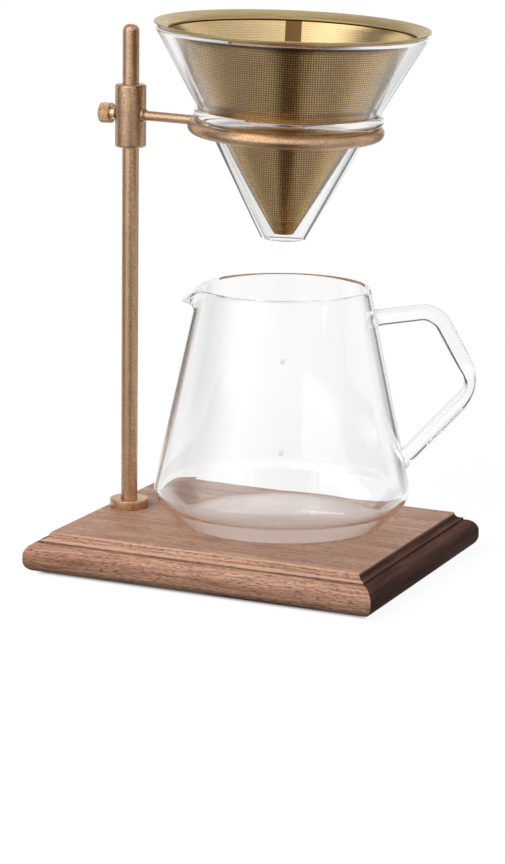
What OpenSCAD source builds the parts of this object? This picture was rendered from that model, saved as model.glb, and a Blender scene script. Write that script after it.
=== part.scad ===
// Pour-over dripper stand. A walnut board with a moulded edge carries a brass column. A sleeve slides on the
// column and holds an arm and a ring. A glass brewer with a metal cone filter hangs in the ring, above a glass
// server that stands on the board. Lengths are in millimetres and angles in degrees. +X runs from the column
// along the arm, +Y to the back, +Z up from the table.

/* [Base board] */
// Length of the flat top, left to right
top_length = 148.2; // [135:0.1:220]
// Depth of the flat top, front to back
top_depth = 116; // [100:0.5:180]
// Thickness of the board
board_thick = 17; // [16:0.5:28]
// How far the moulded edge stands out from the flat top
edge_out = 9; // [8:0.1:14]
// Radius of the hollow cove beside the flat top
cove_r = 2.9; // [1.5:0.1:4]
// Width of the flat fillet outside the cove
cove_flat = 0.4; // [0.2:0.1:1]
// Height of the upright step between the cove and the nosing
quirk_h = 1; // [0.5:0.1:2]
// Radius of the nosing's upper round
nosing_r = 6; // [4:0.1:7.5]
// Radius of the round under the nosing
under_r = 5; // [2:0.1:6]

/* [Foot pads] */
// Diameter of each felt pad
pad_dia = 14; // [8:0.5:20]
// Thickness of each felt pad
pad_thick = 1.2; // [0.8:0.1:3]
// Distance of a pad's centre from the edges of the flat top
pad_inset = 12; // [8:0.5:25]

/* [Column] */
// Diameter of the column
column_dia = 7.5; // [6.5:0.1:10]
// How far the column rises above the arm's axis
column_above_arm = 40.5; // [30:0.5:80]
// Radius that rounds the top of the column
column_round = 3.2; // [1:0.1:3.2]
// How deep the column is let into the board
socket_depth = 6; // [3:0.5:8]
// Diameter of the foot collar
foot_dia = 17.6; // [14:0.1:24]
// Distance of the foot collar from the left edge of the flat top
foot_margin = 1.2; // [0:0.1:6]
// Height of the foot collar
foot_height = 4.1; // [2.5:0.1:8]
// Radius that rounds the foot collar's upper edge
foot_edge = 0.6; // [0.2:0.1:1.2]

/* [Column bolt] */
// Diameter of the bolt that holds the column from below
bolt_dia = 4; // [3:0.5:5]
// Length of the bolt inside the column
bolt_grip = 12; // [6:1:30]
// Diameter of the bolt's head
head_dia = 7; // [6:0.1:9]
// Height of the bolt's head
head_height = 4; // [2.5:0.1:4.5]
// Width across the flats of the hexagon socket
key_width = 3; // [2:0.5:4]
// Depth of the hexagon socket
key_depth = 2; // [1:0.1:2.2]
// Outer diameter of the washer
washer_dia = 10; // [9:0.5:14]
// Thickness of the washer
washer_thick = 0.8; // [0.5:0.1:1.5]
// How far the bolt's head lies inside the underside of the board
head_sink = 1.2; // [0.5:0.1:2]
// Room around the washer in its recess
recess_gap = 1.2; // [0.5:0.1:3]
// Room around the bolt in the board, the washer and the foot of the column
bolt_gap = 0.2; // [0.1:0.05:0.4]

/* [Clamp sleeve] */
// Thickness of the sleeve's wall
sleeve_wall = 3.2; // [2.4:0.1:6]
// Height of the sleeve
sleeve_height = 28.5; // [18:0.5:50]
// How far the sleeve's middle lies below the arm's axis
sleeve_low = 0.6; // [-4:0.1:4]
// Radius that rounds the sleeve's ends
sleeve_edge = 1.2; // [0.3:0.1:2]
// Radial clearance of the column in the sleeve, the foot collar and the board
slide_fit = 0.05; // [0.02:0.01:0.1]

/* [Thumbscrew] */
// Diameter of the knurled knob
knob_dia = 9.3; // [7.5:0.1:16]
// Length of the knurled knob
knob_length = 5.2; // [4:0.1:10]
// Chamfer on the knob's edges
knob_edge = 0.5; // [0.2:0.1:1]
// Diameter of the neck behind the knob
neck_dia = 5.6; // [5:0.1:7]
// Length of the neck between the sleeve and the knob
neck_length = 2.4; // [1.5:0.1:6]
// Diameter of the screw's stud
stud_dia = 3.5; // [3:0.1:4]
// Radial clearance of the stud in the sleeve and in the knob
stud_fit = 0.05; // [0.02:0.01:0.1]
// Gap between the stud's tip and the column, and between the neck and the sleeve
screw_gap = 0.2; // [0.1:0.05:0.5]

/* [Arm and ring] */
// Diameter of the arm
arm_dia = 4.4; // [3.5:0.1:6]
// Distance from the column's axis to the ring's centre
arm_reach = 76.3; // [72:0.1:95]
// How far the arm droops from level
arm_droop = 1.7; // [0:0.1:4]
// How much further the ring droops than the arm
ring_dip = 0.8; // [-2:0.1:2]
// How far the ring leans to the front about the arm
ring_lean = 1.4; // [-3:0.1:3]
// How deep the arm is let into the sleeve
arm_tenon = 2; // [1:0.1:2.2]
// Width of the braze fillet round the arm's root
braze_width = 1; // [0.4:0.1:2]
// How far the braze fillet runs along the arm
braze_length = 1.6; // [0.6:0.1:4]
// Gap that the braze fills at both ends of the arm
braze_gap = 0.05; // [0.02:0.01:0.1]
// Diameter of the ring's centre line
ring_dia = 80.8; // [70:0.2:90]
// Diameter of the ring's round bar
ring_bar = 5.8; // [4.5:0.1:8]

/* [Brewer] */
// Diameter of the brewer's rim
rim_dia = 119.2; // [110:0.2:136]
// Height of the rim above the ring
rim_up = 43.7; // [35:0.1:70]
// How far the thick collar stands out past the ring's centre line
collar_over = 1.5; // [0.6:0.1:3]
// Height of the collar
collar_height = 5.2; // [5.2:0.1:12]
// Radius that rounds the collar's edges
collar_round = 2.4; // [1.5:0.1:2.6]
// Thickness of the brewer's glass
brewer_wall = 2.1; // [1.5:0.1:3]
// Outer diameter of the open tip
tip_dia = 20.8; // [18:0.2:30]
// Distance of the tip below the ring
tip_drop = 48.4; // [40:0.1:60]
// Gap between seated pieces of different make
seat_gap = 0.2; // [0.1:0.05:0.4]
// Gap between the brewer's lower cone and the ring's bar
pass_gap = 1.4; // [1.2:0.1:3]
// How far the brewer sits off the ring's centre, away from the column
brewer_off = 1.1; // [-1.1:0.1:1.1]

/* [Filter] */
// How far the flange's edge stands out past the brewer's rim
flange_over = 0.9; // [0:0.1:2]
// Gap between the cone and the brewer's inside, at the lip or at the collar
cone_gap = 1.1; // [0.6:0.1:3]
// Slope of the flange, down to the inside
flange_slope = 29; // [10:1:35]
// Height of the plain collar below the flange
flange_drop = 1.4; // [0.8:0.1:4]
// Thickness of the flange
flange_thick = 0.6; // [0.5:0.1:1.2]
// Thickness of the etched sheet
sheet_thick = 0.5; // [0.3:0.1:1]
// Outer diameter of the filter's flat tip
point_dia = 8.4; // [7:0.2:12]
// Height of the plain cup that closes the tip
point_height = 3; // [2:0.1:8]
// Distance of the filter's tip above the brewer's tip
point_rise = 2.9; // [2:0.1:10]

/* [Server] */
// Largest outer diameter
belly_dia = 115; // [100:0.5:120]
// Height of the largest diameter above the board
belly_up = 16.1; // [14:0.1:30]
// Radius of the turn at the largest diameter
belly_round = 9; // [5:0.1:12]
// Height of the server
server_height = 107.6; // [95:0.1:140]
// Outer diameter of the mouth
mouth_dia = 76.8; // [64:0.2:90]
// Outer diameter of the flat foot
foot_ring_dia = 86; // [70:0.5:92]
// Radius of the turn at the foot
foot_round = 5; // [3:0.1:8]
// Thickness of the server's glass
server_wall = 2; // [1.5:0.1:2.8]
// How far the server stands to the left of the ring's centre
server_left = 2.7; // [-6:0.1:6]
// How far the server stands behind the ring's centre
server_back = 7; // [-8:0.1:8]
// Distance from the mouth down to the spout's root
spout_height = 10.2; // [9:0.1:20]
// How far the spout's tip stands out from the mouth
spout_out = 8.1; // [6:0.1:14]
// How far the spout's tip lies below the mouth
spout_drop = 7; // [4:0.1:8]
// Width of the spout at its tip
spout_width = 12; // [6:0.1:14]
// How far the fold of the spout runs in from its root
spout_fold = 10; // [8:0.5:16]
// Gap between the server's mouth and the brewer's tip
drip_gap = 23.1; // [20:0.1:60]

/* [Server handle] */
// Diameter of the handle's rod
handle_dia = 7.5; // [6:0.1:10]
// Turn of the handle from the arm's direction, to the back
handle_turn = 27; // [0:1:60]
// How far the handle's upper root lies below the mouth
bar_root_down = 14.1; // [12:0.1:25]
// How far the handle's upper corner lies above its upper root
elbow_rise = 3.3; // [0:0.1:8]
// Distance of the upper corner from the mouth
elbow_out = 29.8; // [22:0.1:40]
// Bend radius of the upper corner
elbow_bend = 10.5; // [7:0.1:14]
// How far the handle's outer corner lies below its upper corner
knuckle_drop = 34.2; // [28:0.1:45]
// Distance of the outer corner from the belly
knuckle_out = 29.6; // [22:0.1:40]
// Bend radius of the outer corner
knuckle_bend = 12.8; // [8:0.1:18]
// How much thinner the rod is drawn in the outer corner
knuckle_draw = 1.8; // [0:0.1:2.5]
// Height of the handle's lower root
low_root_up = 29; // [26:0.1:40]
// How far the fused roots swell past the rod
root_swell = 0.4; // [0.2:0.1:2]
// Length of the swelling at each root
root_length = 2.8; // [1:0.1:8]

/* [Hidden] */

$fn = 120;
// Points on each round of a turned outline
arc_steps = 10;
// Sides of the cone that the spout is folded from
spout_sides = 32;
// Stations in each bend and each root of the handle, and sides of its swept rod
bend_steps = 8;
swell_steps = 4;
rod_sides = 24;
// Overshoot of a cut past the face that it opens
cut = 1;

BRASS = "#9a7a52";
BRIGHT_BRASS = "#c9a66f";
GILT = "#8b7146";
WALNUT = "#8a6450";
STEEL = "#b8b8b4";
FELT = "#4a4642";
GLASS = [0.86, 0.90, 0.90, 0.35];

// Points of an arc about a centre
function arc(centre, radius, from, to) =
    [for (i = [0 : arc_steps])
        let (a = from + (to - from) * i / arc_steps)
        centre + radius * [cos(a), sin(a)]];

// Direction of the way from one point to another
function heading(a, b) = atan2(b.y - a.y, b.x - a.x);

// Server outline: the wall and the lower cone are lines that touch the belly's round and the foot's round
belly_centre = [belly_dia / 2 - belly_round, belly_up];
foot_centre = [foot_ring_dia / 2, foot_round];
mouth_edge = [mouth_dia / 2, server_height];
wall_normal = heading(belly_centre, mouth_edge) - acos(belly_round / norm(mouth_edge - belly_centre));
under_normal = heading(foot_centre, belly_centre)
    - acos((foot_round - belly_round) / norm(belly_centre - foot_centre));
function wall_radius(up) =
    belly_centre.x + (belly_round - sin(wall_normal) * (up - belly_centre.y)) / cos(wall_normal);

// Handle path in the plane of the handle: distance from the server's axis, height above the board
bar_root_up = server_height - bar_root_down;
elbow_up = bar_root_up + elbow_rise;
handle_path = [[wall_radius(bar_root_up), bar_root_up],
               [mouth_dia / 2 + elbow_out, elbow_up],
               [belly_dia / 2 + knuckle_out, elbow_up - knuckle_drop],
               [wall_radius(low_root_up), low_root_up]];
// Bend radius at each corner of the path, and how much thinner the rod is there
handle_bends = [0, elbow_bend, knuckle_bend];
handle_draws = [0, 0, knuckle_draw];
// Heading of the run that leaves a point of the path
function run_heading(i) = heading(handle_path[i], handle_path[i + 1]);
// Length of the path that a corner's bend takes up on each side
function bend_length(i) = handle_bends[i] * tan((run_heading(i - 1) - run_heading(i)) / 2);
// Centre of a corner's bend, on the inner side of the path
function bend_centre(i) =
    let (a = run_heading(i))
    handle_path[i] + bend_length(i) * [cos(a), sin(a)] + handle_bends[i] * [sin(a), -cos(a)];
// Radius of the rod at a distance out from the wall
function rod_radius(out) = handle_dia / 2 + root_swell * pow(1 - max(0, out) / root_length, 2);
// How far the rod's ends lie inside the server's outer face
root_sink = 0.7 * handle_dia;
// Distances out from the wall of a root's stations
root_steps = concat([-root_sink], [for (k = [0 : swell_steps]) root_length * k / swell_steps]);
// Stations of the swept rod, each a point, a heading and a radius: the two roots, with the bends between them
handle_stations = concat(
    [for (out = root_steps)
        let (a = run_heading(0))
        [handle_path[0] + out * [cos(a), sin(a)], a, rod_radius(out)]],
    [for (i = [1, 2], k = [0 : bend_steps])
        let (a = run_heading(i - 1) + (run_heading(i) - run_heading(i - 1)) * k / bend_steps)
        let (r = (handle_dia - handle_draws[i] * sin(180 * k / bend_steps)) / 2)
        [bend_centre(i) + handle_bends[i] * [-sin(a), cos(a)], a, r]],
    [for (k = [len(root_steps) - 1 : -1 : 0])
        let (a = run_heading(2), out = root_steps[k])
        [handle_path[3] - out * [cos(a), sin(a)], a, rod_radius(out)]]);

// The origin lies on the table under the middle of the whole object's box
column_inset = foot_dia / 2 + foot_margin;
ring_from_board = column_inset - top_length / 2 + arm_reach * cos(arm_droop);
// Farthest point of the handle's centre line, and the rod's radius there
handle_end = bend_centre(2).x + knuckle_bend;
handle_r = (handle_dia - knuckle_draw) / 2;
handle_end_x = ring_from_board - server_left + cos(handle_turn) * handle_end + handle_r;
board_half = top_length / 2 + edge_out;
board_x = (board_half - max(handle_end_x, board_half)) / 2;

// Places
board_top = pad_thick + board_thick;
column_x = board_x - top_length / 2 + column_inset;
arm_z = board_top + server_height + drip_gap + tip_drop + arm_reach * sin(arm_droop);
column_low = board_top - socket_depth;
column_top = arm_z + column_above_arm;
server_x = column_x + arm_reach * cos(arm_droop) - server_left;
sleeve_dia = column_dia + 2 * (slide_fit + sleeve_wall);
sleeve_r = sleeve_dia / 2;
sleeve_z = arm_z - sleeve_low - sleeve_height / 2;
head_z = pad_thick + head_sink;
washer_z = head_z + head_height;
recess_top = washer_z + washer_thick;
knob_back = sleeve_r + neck_length;
knob_face = knob_back + knob_length;

// Brewer outline, about the brewer's axis: the lower cone passes the ring's bar, the collar sits on it
bar_r = ring_bar / 2;
tip_edge = [tip_dia / 2, -tip_drop];
ring_edge = [ring_dia / 2, 0];
lower_normal = heading(tip_edge, ring_edge) - acos((bar_r + pass_gap) / norm(ring_edge - tip_edge));
lower_face = [cos(lower_normal), sin(lower_normal)];
collar_x = ring_dia / 2 + collar_over - collar_round;
// The collar rests where it comes closest to the ring's centre line
collar_side = max(0, abs(collar_over - collar_round) - abs(brewer_off));
collar_low = sqrt(pow(bar_r + seat_gap + collar_round, 2) - pow(collar_side, 2));
collar_high = collar_low + collar_height - 2 * collar_round;
// Angle at which the lower cone runs into the collar's lower round
collar_start = lower_normal - acos((tip_edge - [collar_x, collar_low]) * lower_face / collar_round);
lip_centre = [(rim_dia - brewer_wall) / 2, rim_up - brewer_wall / 2];
upper_angle = heading([collar_x, collar_high + collar_round], lip_centre);
// The collar's upper round ends half-way between level and the upper wall
collar_end = (90 + upper_angle) / 2;
// Point inside the lower cone at a height, one wall in from its outer face
function lower_inside(z) =
    [tip_edge.x - ((z - tip_edge.y) * lower_face.y + brewer_wall) / lower_face.x, z];
collar_inside = lower_inside(collar_high);
lip_inside = lip_centre + brewer_wall / 2 * [-sin(upper_angle), cos(upper_angle)];

// Filter outline: the flange lies on the brewer's lip, and the cone hangs from it
flange_r = rim_dia / 2 + flange_over;
function flange_under(r) =
    lip_centre.y + (brewer_wall / 2 + seat_gap) / cos(flange_slope) + tan(flange_slope) * (r - lip_centre.x);
point_low = [point_dia / 2, -tip_drop + point_rise];
// Radius that the cone gains for each unit of height, so that it clears the lip and the collar
function slope_to(inside) = (inside.x - cone_gap - point_low.x) / (inside.y - point_low.y);
cone_slope = min(slope_to(lip_inside), slope_to(collar_inside));
// The cone meets the flange where both have the same radius
flange_in = (point_low.x + cone_slope * (flange_under(0) - flange_drop - point_low.y))
    / (1 - cone_slope * tan(flange_slope));
cone_top = [flange_in, flange_under(flange_in) - flange_drop];
point_top = point_low + point_height * [cone_slope, 1];
sheet_in = sheet_thick * sqrt(1 + cone_slope * cone_slope);

// Spout: its keel starts in the glass of the wall and runs up and out to the tip
spout_root = [wall_radius(server_height - spout_height), server_height - spout_height];
spout_tip = [mouth_dia / 2 + spout_out, server_height - spout_drop];
keel_angle = heading(spout_root, spout_tip);
spout_apex = spout_root - server_wall / 2 * [cos(keel_angle), sin(keel_angle)];
spout_half = atan(spout_width / 2 / norm(spout_tip - spout_apex));
// Length of the cone that the spout is folded from
spout_length = 2 * spout_height;
// Height of the blunt end at the spout's tip
spout_end = server_wall / 2;

// Moulded section of the board, from the underside up, about the middle of the board
module board_section(half) {
    outer = half + edge_out;
    slab = board_thick - cove_r - quirk_h;
    over_r = min(nosing_r, slab - under_r);
    difference() {
        translate([-half - cove_r, 0]) square([2 * (half + cove_r), board_thick]);
        for (side = [-1, 1])
            translate([side * (half + cove_r), board_thick]) circle(cove_r);
    }
    translate([-half - cove_r - cove_flat, 0]) square([2 * (half + cove_r + cove_flat), board_thick - cove_r]);
    translate([over_r - outer, 0]) square([2 * (outer - over_r), slab]);
    translate([-outer, under_r]) square([2 * outer, slab - over_r - under_r]);
    translate([under_r - outer, 0]) square([2 * (outer - under_r), slab - over_r]);
    for (side = [-1, 1]) {
        translate([side * (outer - over_r), slab - over_r]) circle(over_r);
        translate([side * (outer - under_r), under_r]) circle(under_r);
    }
}

// Two moulded bars that cross, so that the edges meet in mitres
module moulded_board() {
    reach_x = top_length + 2 * edge_out;
    reach_y = top_depth + 2 * edge_out;
    intersection() {
        rotate([90, 0, 0]) linear_extrude(reach_y, center = true) board_section(top_length / 2);
        rotate([90, 0, 90]) linear_extrude(reach_x, center = true) board_section(top_depth / 2);
    }
}

// Upright hole on the column's axis, from one height to another
module column_hole(from, to, dia) {
    translate([column_x, 0, from]) cylinder(h = to - from, d = dia);
}

// Walnut board with the column's socket above and the bolt's recess below
module base_board() {
    color(WALNUT) difference() {
        translate([board_x, 0, pad_thick]) moulded_board();
        column_hole(column_low, board_top + cut, column_dia + 2 * slide_fit);
        column_hole(pad_thick, board_top, bolt_dia + 2 * bolt_gap);
        column_hole(pad_thick - cut, recess_top, washer_dia + 2 * recess_gap);
    }
}

// Felt pad under one corner; the sides are -1 or 1 along X and Y
module foot_pad(side_x, side_y) {
    color(FELT)
        translate([board_x + side_x * (top_length / 2 - pad_inset), side_y * (top_depth / 2 - pad_inset), 0])
            cylinder(h = pad_thick, d = pad_dia);
}

// What a round takes off a square edge at the origin
module edge_waste(radius) {
    if (radius > 0)
        difference() {
            translate([-cut, -cut]) square(radius + cut);
            translate([radius, radius]) circle(radius);
        }
}

// Turned bar whose top and bottom edges are rounded
module turned_bar(dia, height, top_round, low_round) {
    rotate_extrude() difference() {
        square([dia / 2, height]);
        translate([dia / 2, height]) rotate(180) edge_waste(top_round);
        translate([dia / 2, 0]) rotate(90) edge_waste(low_round);
    }
}

// Collar round the foot of the column
module column_foot() {
    color(BRASS) difference() {
        translate([column_x, 0, board_top]) turned_bar(foot_dia, foot_height, foot_edge, 0);
        column_hole(board_top - cut, board_top + foot_height + cut, column_dia + 2 * slide_fit);
    }
}

// Round column with a domed top and a tapped foot
module column() {
    color(BRASS) difference() {
        translate([column_x, 0, column_low]) turned_bar(column_dia, column_top - column_low, column_round, 0);
        column_hole(column_low - cut, column_low + bolt_grip + cut, bolt_dia + 2 * slide_fit);
    }
}

// Socket-head bolt from below into the column
module column_bolt() {
    color(STEEL) difference() {
        union() {
            column_hole(head_z, washer_z, head_dia);
            column_hole(washer_z, column_low + bolt_grip, bolt_dia);
        }
        translate([column_x, 0, head_z - cut]) cylinder(h = key_depth + cut, d = key_width / cos(30), $fn = 6);
    }
}

// Washer between the bolt's head and the board
module column_washer() {
    color(STEEL) difference() {
        column_hole(washer_z, recess_top, washer_dia);
        column_hole(washer_z - cut, recess_top + cut, bolt_dia + 2 * bolt_gap);
    }
}

// The arm's frame: origin on the column's axis, +X along the drooping arm
module on_arm() {
    translate([column_x, 0, arm_z]) rotate([0, arm_droop, 0]) children();
}

// The ring's frame: origin at the ring's centre, +Z along the ring's axis
module on_ring() {
    on_arm() translate([arm_reach, 0, 0]) rotate([ring_lean, ring_dip, 0]) children();
}

// The brewer's frame: level with the ring, with +Z along the brewer's own axis
module on_brewer() {
    on_ring() translate([brewer_off, 0, 0]) children();
}

// Bar or cone along +X from one distance to another
module bar_x(from, to, dia, end_dia = undef) {
    translate([from, 0, 0]) rotate([0, 90, 0])
        cylinder(h = to - from, d1 = dia, d2 = is_undef(end_dia) ? dia : end_dia);
}

// Sleeve that slides on the column, bored for the column, the stud and the arm
module clamp_sleeve() {
    color(BRASS) difference() {
        translate([column_x, 0, sleeve_z]) turned_bar(sleeve_dia, sleeve_height, sleeve_edge, sleeve_edge);
        column_hole(sleeve_z - cut, sleeve_z + sleeve_height + cut, column_dia + 2 * slide_fit);
        translate([column_x, 0, arm_z]) bar_x(-sleeve_r - cut, 0, stud_dia + 2 * stud_fit);
        on_arm() bar_x(sleeve_r - arm_tenon, sleeve_r + cut, arm_dia + 2 * braze_gap);
    }
}

// Ring bar in the ring's frame, thickened by a gap all round
module ring_round(gap) {
    rotate_extrude() translate([ring_dia / 2, 0]) circle(d = ring_bar + 2 * gap);
}

// Arm let into the sleeve, brazed there and cut to the ring's bar
module arm_rod() {
    // The braze's cone starts inside the sleeve, so that it has its width at the sleeve's face
    braze_root = arm_dia + 4 * braze_width;
    color(BRASS) difference() {
        union() {
            on_arm() bar_x(sleeve_r - arm_tenon + braze_gap, arm_reach - ring_dia / 2, arm_dia);
            difference() {
                on_arm()
                    bar_x(sleeve_r - braze_length, sleeve_r + braze_length, braze_root, arm_dia);
                column_hole(sleeve_z, sleeve_z + sleeve_height, sleeve_dia + 2 * braze_gap);
            }
        }
        on_ring() ring_round(braze_gap);
    }
}

// Ring that the brewer hangs in
module support_ring() {
    color(BRASS) on_ring() ring_round(0);
}

// Stud of the thumbscrew, from the column to the knob's blind hole
module thumbscrew_stud() {
    color(STEEL) translate([column_x, 0, arm_z])
        bar_x(-knob_face + knob_edge + 2 * screw_gap, -column_dia / 2 - screw_gap, stud_dia);
}

// Knob with its neck, turned and drilled from the inner end
module thumbscrew_knob() {
    edge_dia = knob_dia - 2 * knob_edge;
    color(BRIGHT_BRASS) translate([column_x, 0, arm_z]) difference() {
        union() {
            bar_x(-knob_face, -knob_face + knob_edge, edge_dia, knob_dia);
            bar_x(-knob_face + knob_edge, -knob_back - knob_edge, knob_dia);
            bar_x(-knob_back - knob_edge, -knob_back, knob_dia, edge_dia);
            bar_x(-knob_back, -sleeve_r - screw_gap, neck_dia);
        }
        bar_x(-knob_face + knob_edge + screw_gap, 0, stud_dia + 2 * stud_fit);
    }
}

// Glass cone with a flared upper part, a thick collar and an open tip
module brewer_glass() {
    outline = concat(
        [lower_inside(-tip_drop), tip_edge],
        arc([collar_x, collar_low], collar_round, collar_start, 0),
        arc([collar_x, collar_high], collar_round, 0, collar_end),
        arc(lip_centre, brewer_wall / 2, upper_angle - 90, upper_angle + 90),
        [collar_inside]);
    color(GLASS) on_brewer() rotate_extrude() polygon(outline);
}

// Flange that lies on the brewer's lip, with a plain collar that the sheet is welded to
module filter_flange() {
    lift = flange_thick / cos(flange_slope);
    outline = [cone_top,
               [flange_in, flange_under(flange_in)],
               [flange_r, flange_under(flange_r)],
               [flange_r, flange_under(flange_r) + lift],
               [flange_in - sheet_in, flange_under(flange_in - sheet_in) + lift],
               cone_top - [sheet_in, 0]];
    color(GILT) on_brewer() rotate_extrude() polygon(outline);
}

// Etched sheet rolled to a cone
module filter_cone() {
    outline = [point_top, cone_top, cone_top - [sheet_in, 0], point_top - [sheet_in, 0]];
    color(GILT) on_brewer() rotate_extrude() polygon(outline);
}

// Plain cup that closes the filter's tip
module filter_tip() {
    floor_top = point_low + sheet_thick * [cone_slope, 1];
    outline = [[0, point_low.y], point_low, point_top, point_top - [sheet_in, 0], floor_top - [sheet_in, 0],
               [0, floor_top.y]];
    color(GILT) on_brewer() rotate_extrude() polygon(outline);
}

// Outline of the server moved in from its outer face, closed over the mouth at a height
function server_outline(inset, top) = concat(
    [[0, inset]],
    arc(foot_centre, foot_round - inset, -90, under_normal),
    arc(belly_centre, belly_round - inset, under_normal, wall_normal),
    [[wall_radius(top) - inset / cos(wall_normal), top], [0, top]]);

// Solid of the server's outer face
module server_solid() {
    rotate_extrude() polygon(server_outline(0, server_height));
}

// Fold of the spout, moved in from its outer face: a cone on the keel, drawn in through the wall
module spout_fold(inset) {
    hull()
        for (in = [0, spout_fold])
            translate([spout_apex.x - in, 0, spout_apex.y]) rotate([0, 90 - keel_angle - spout_half, 0])
                translate([0, 0, inset / sin(spout_half)])
                    cylinder(h = spout_length, r1 = 0, r2 = spout_length * tan(spout_half), $fn = spout_sides);
}

// Everything above the plane that slopes from the middle of the mouth's edge down to the spout's blunt end
module above_spout() {
    slope = atan((spout_drop - spout_end) / (spout_out + server_wall / 2));
    translate([spout_tip.x, 0, spout_tip.y + spout_end]) rotate([0, slope, 0])
        translate([-mouth_dia, -mouth_dia / 2, 0]) cube([2 * mouth_dia, mouth_dia, mouth_dia]);
}

// The server's frame: origin on the board under the server's axis, +X away from the spout
module on_server() {
    translate([server_x, server_back, board_top]) rotate([0, 0, handle_turn]) children();
}

// Blown glass body with a beak drawn out of the mouth opposite the handle
module server_body() {
    color(GLASS) on_server() difference() {
        union() {
            server_solid();
            intersection() {
                mirror([1, 0, 0]) spout_fold(0);
                cylinder(h = server_height, r = spout_tip.x);
            }
        }
        rotate_extrude() polygon(server_outline(server_wall, server_height + cut));
        mirror([1, 0, 0]) spout_fold(server_wall);
        mirror([1, 0, 0]) above_spout();
    }
}

// Rod swept along the handle's stations, as rings of points joined by triangles
module handle_rod() {
    last = len(handle_stations) - 1;
    points = [for (station = handle_stations, k = [0 : rod_sides - 1])
        let (p = station[0], a = station[1], r = station[2], t = 360 * k / rod_sides)
        [p.x - r * cos(t) * sin(a), r * sin(t), p.y + r * cos(t) * cos(a)]];
    walls = [for (i = [0 : last - 1], k = [0 : rod_sides - 1])
        let (next = (k + 1) % rod_sides, low = i * rod_sides, high = low + rod_sides)
        each [[low + k, low + next, high + next], [low + k, high + next, high + k]]];
    root = [for (k = [rod_sides - 1 : -1 : 0]) k];
    end = [for (k = [0 : rod_sides - 1]) last * rod_sides + k];
    polyhedron(points, concat([root], walls, [end]));
}

// Glass rod bent at two corners and fused to the body at both ends
module server_handle() {
    color(GLASS) on_server() difference() {
        handle_rod();
        server_solid();
    }
}

base_board();
foot_pad(-1, -1);  // foot_pad_front_left
foot_pad(1, -1);  // foot_pad_front_right
foot_pad(-1, 1);  // foot_pad_back_left
foot_pad(1, 1);  // foot_pad_back_right
column_foot();
column();
column_bolt();
column_washer();
clamp_sleeve();
arm_rod();
support_ring();
thumbscrew_stud();
thumbscrew_knob();
brewer_glass();
filter_flange();
filter_cone();
filter_tip();
server_body();
server_handle();
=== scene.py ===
"""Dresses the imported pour-over dripper stand in walnut, brass, gold-coated sheet and clear glass.

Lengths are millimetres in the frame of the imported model, unless a docstring says metres.
"""

import logging
import math
from dataclasses import dataclass
from enum import Enum

import bmesh
import bpy
import numpy as np
from mathutils import Matrix, Vector


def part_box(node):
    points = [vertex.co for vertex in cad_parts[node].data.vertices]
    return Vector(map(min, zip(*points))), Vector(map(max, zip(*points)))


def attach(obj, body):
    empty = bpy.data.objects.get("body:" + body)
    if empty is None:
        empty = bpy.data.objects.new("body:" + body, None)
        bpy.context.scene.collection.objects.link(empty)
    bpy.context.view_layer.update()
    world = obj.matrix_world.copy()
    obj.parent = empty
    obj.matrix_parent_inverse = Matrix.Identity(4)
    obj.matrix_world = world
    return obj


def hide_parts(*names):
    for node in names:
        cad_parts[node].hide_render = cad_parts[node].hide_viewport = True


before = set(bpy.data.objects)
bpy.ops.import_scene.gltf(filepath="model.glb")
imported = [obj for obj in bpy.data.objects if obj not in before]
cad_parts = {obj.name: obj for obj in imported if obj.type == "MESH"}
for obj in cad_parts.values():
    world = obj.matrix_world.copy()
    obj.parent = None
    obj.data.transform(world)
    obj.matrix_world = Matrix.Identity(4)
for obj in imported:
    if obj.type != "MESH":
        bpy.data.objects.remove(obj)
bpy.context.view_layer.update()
LOG = logging.getLogger("dripper_stand")
Array = np.ndarray
Tree = bpy.types.NodeTree
Socket = bpy.types.NodeSocket
Pair = tuple[float, float]
Triple = tuple[float, float, float]
# Most of a noise lies between these two values
NOISE_RANGE = (0.3, 0.7)
# Axis of the ring and of the brewer in it, which lean as photographed
RING_AXIS = (0.043606, -0.024432, 0.998749)


class Body(Enum):
    """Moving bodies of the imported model."""

    STAND = "stand"
    COLUMN = "column"
    CARRIAGE = "carriage"
    KNOB = "screw_knob"
    BREWER = "brewer"
    FILTER = "filter"
    SERVER = "server"


class Slot(Enum):
    """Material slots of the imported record."""

    WALNUT = "walnut"
    BRASS = "brass"
    BRIGHT_BRASS = "bright_brass"
    GILT_SHEET = "gilt_sheet"
    GLASS = "glass"


class Pattern(Enum):
    """Coordinates that a finish's pattern lies on."""

    SOLID = "Object"
    UNROLLED = "UV"


def linear(colour: str) -> tuple[float, ...]:
    """Turns an sRGB hex colour to linear light with full alpha."""
    part = np.array([int(colour[i:i + 2], 16) for i in (1, 3, 5)]) / 255
    light = np.where(part <= 0.04045, part / 12.92, ((part + 0.055) / 1.055) ** 2.4)
    return (*light.tolist(), 1.0)


def per(*sizes: float) -> tuple[float, ...]:
    """Gives the repeats in a metre of a pattern with these sizes in millimetres."""
    return tuple(1000 / size for size in sizes)


def add(tree: Tree, kind: str, inputs: dict[str | int, object] | None = None, **settings: object) -> bpy.types.Node:
    """Adds one shader node with its settings, values and links.

    Args:
        tree: Tree that takes the node.
        kind: Blender's name of the node's type after ShaderNode.
        inputs: A value, or a socket to link from, for each input by name or number.
        settings: Properties of the node itself.

    Returns:
        The new node.
    """
    node = tree.nodes.new("ShaderNode" + kind)
    for name, value in settings.items():
        setattr(node, name, value)
    for key, value in (inputs or {}).items():
        if isinstance(value, Socket):
            tree.links.new(value, node.inputs[key])
        else:
            node.inputs[key].default_value = value
    return node


def calc(tree: Tree, operation: str, *values: Socket | float) -> Socket:
    """Works out a number from others."""
    return add(tree, "Math", dict(enumerate(values)), operation=operation).outputs[0]


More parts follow.
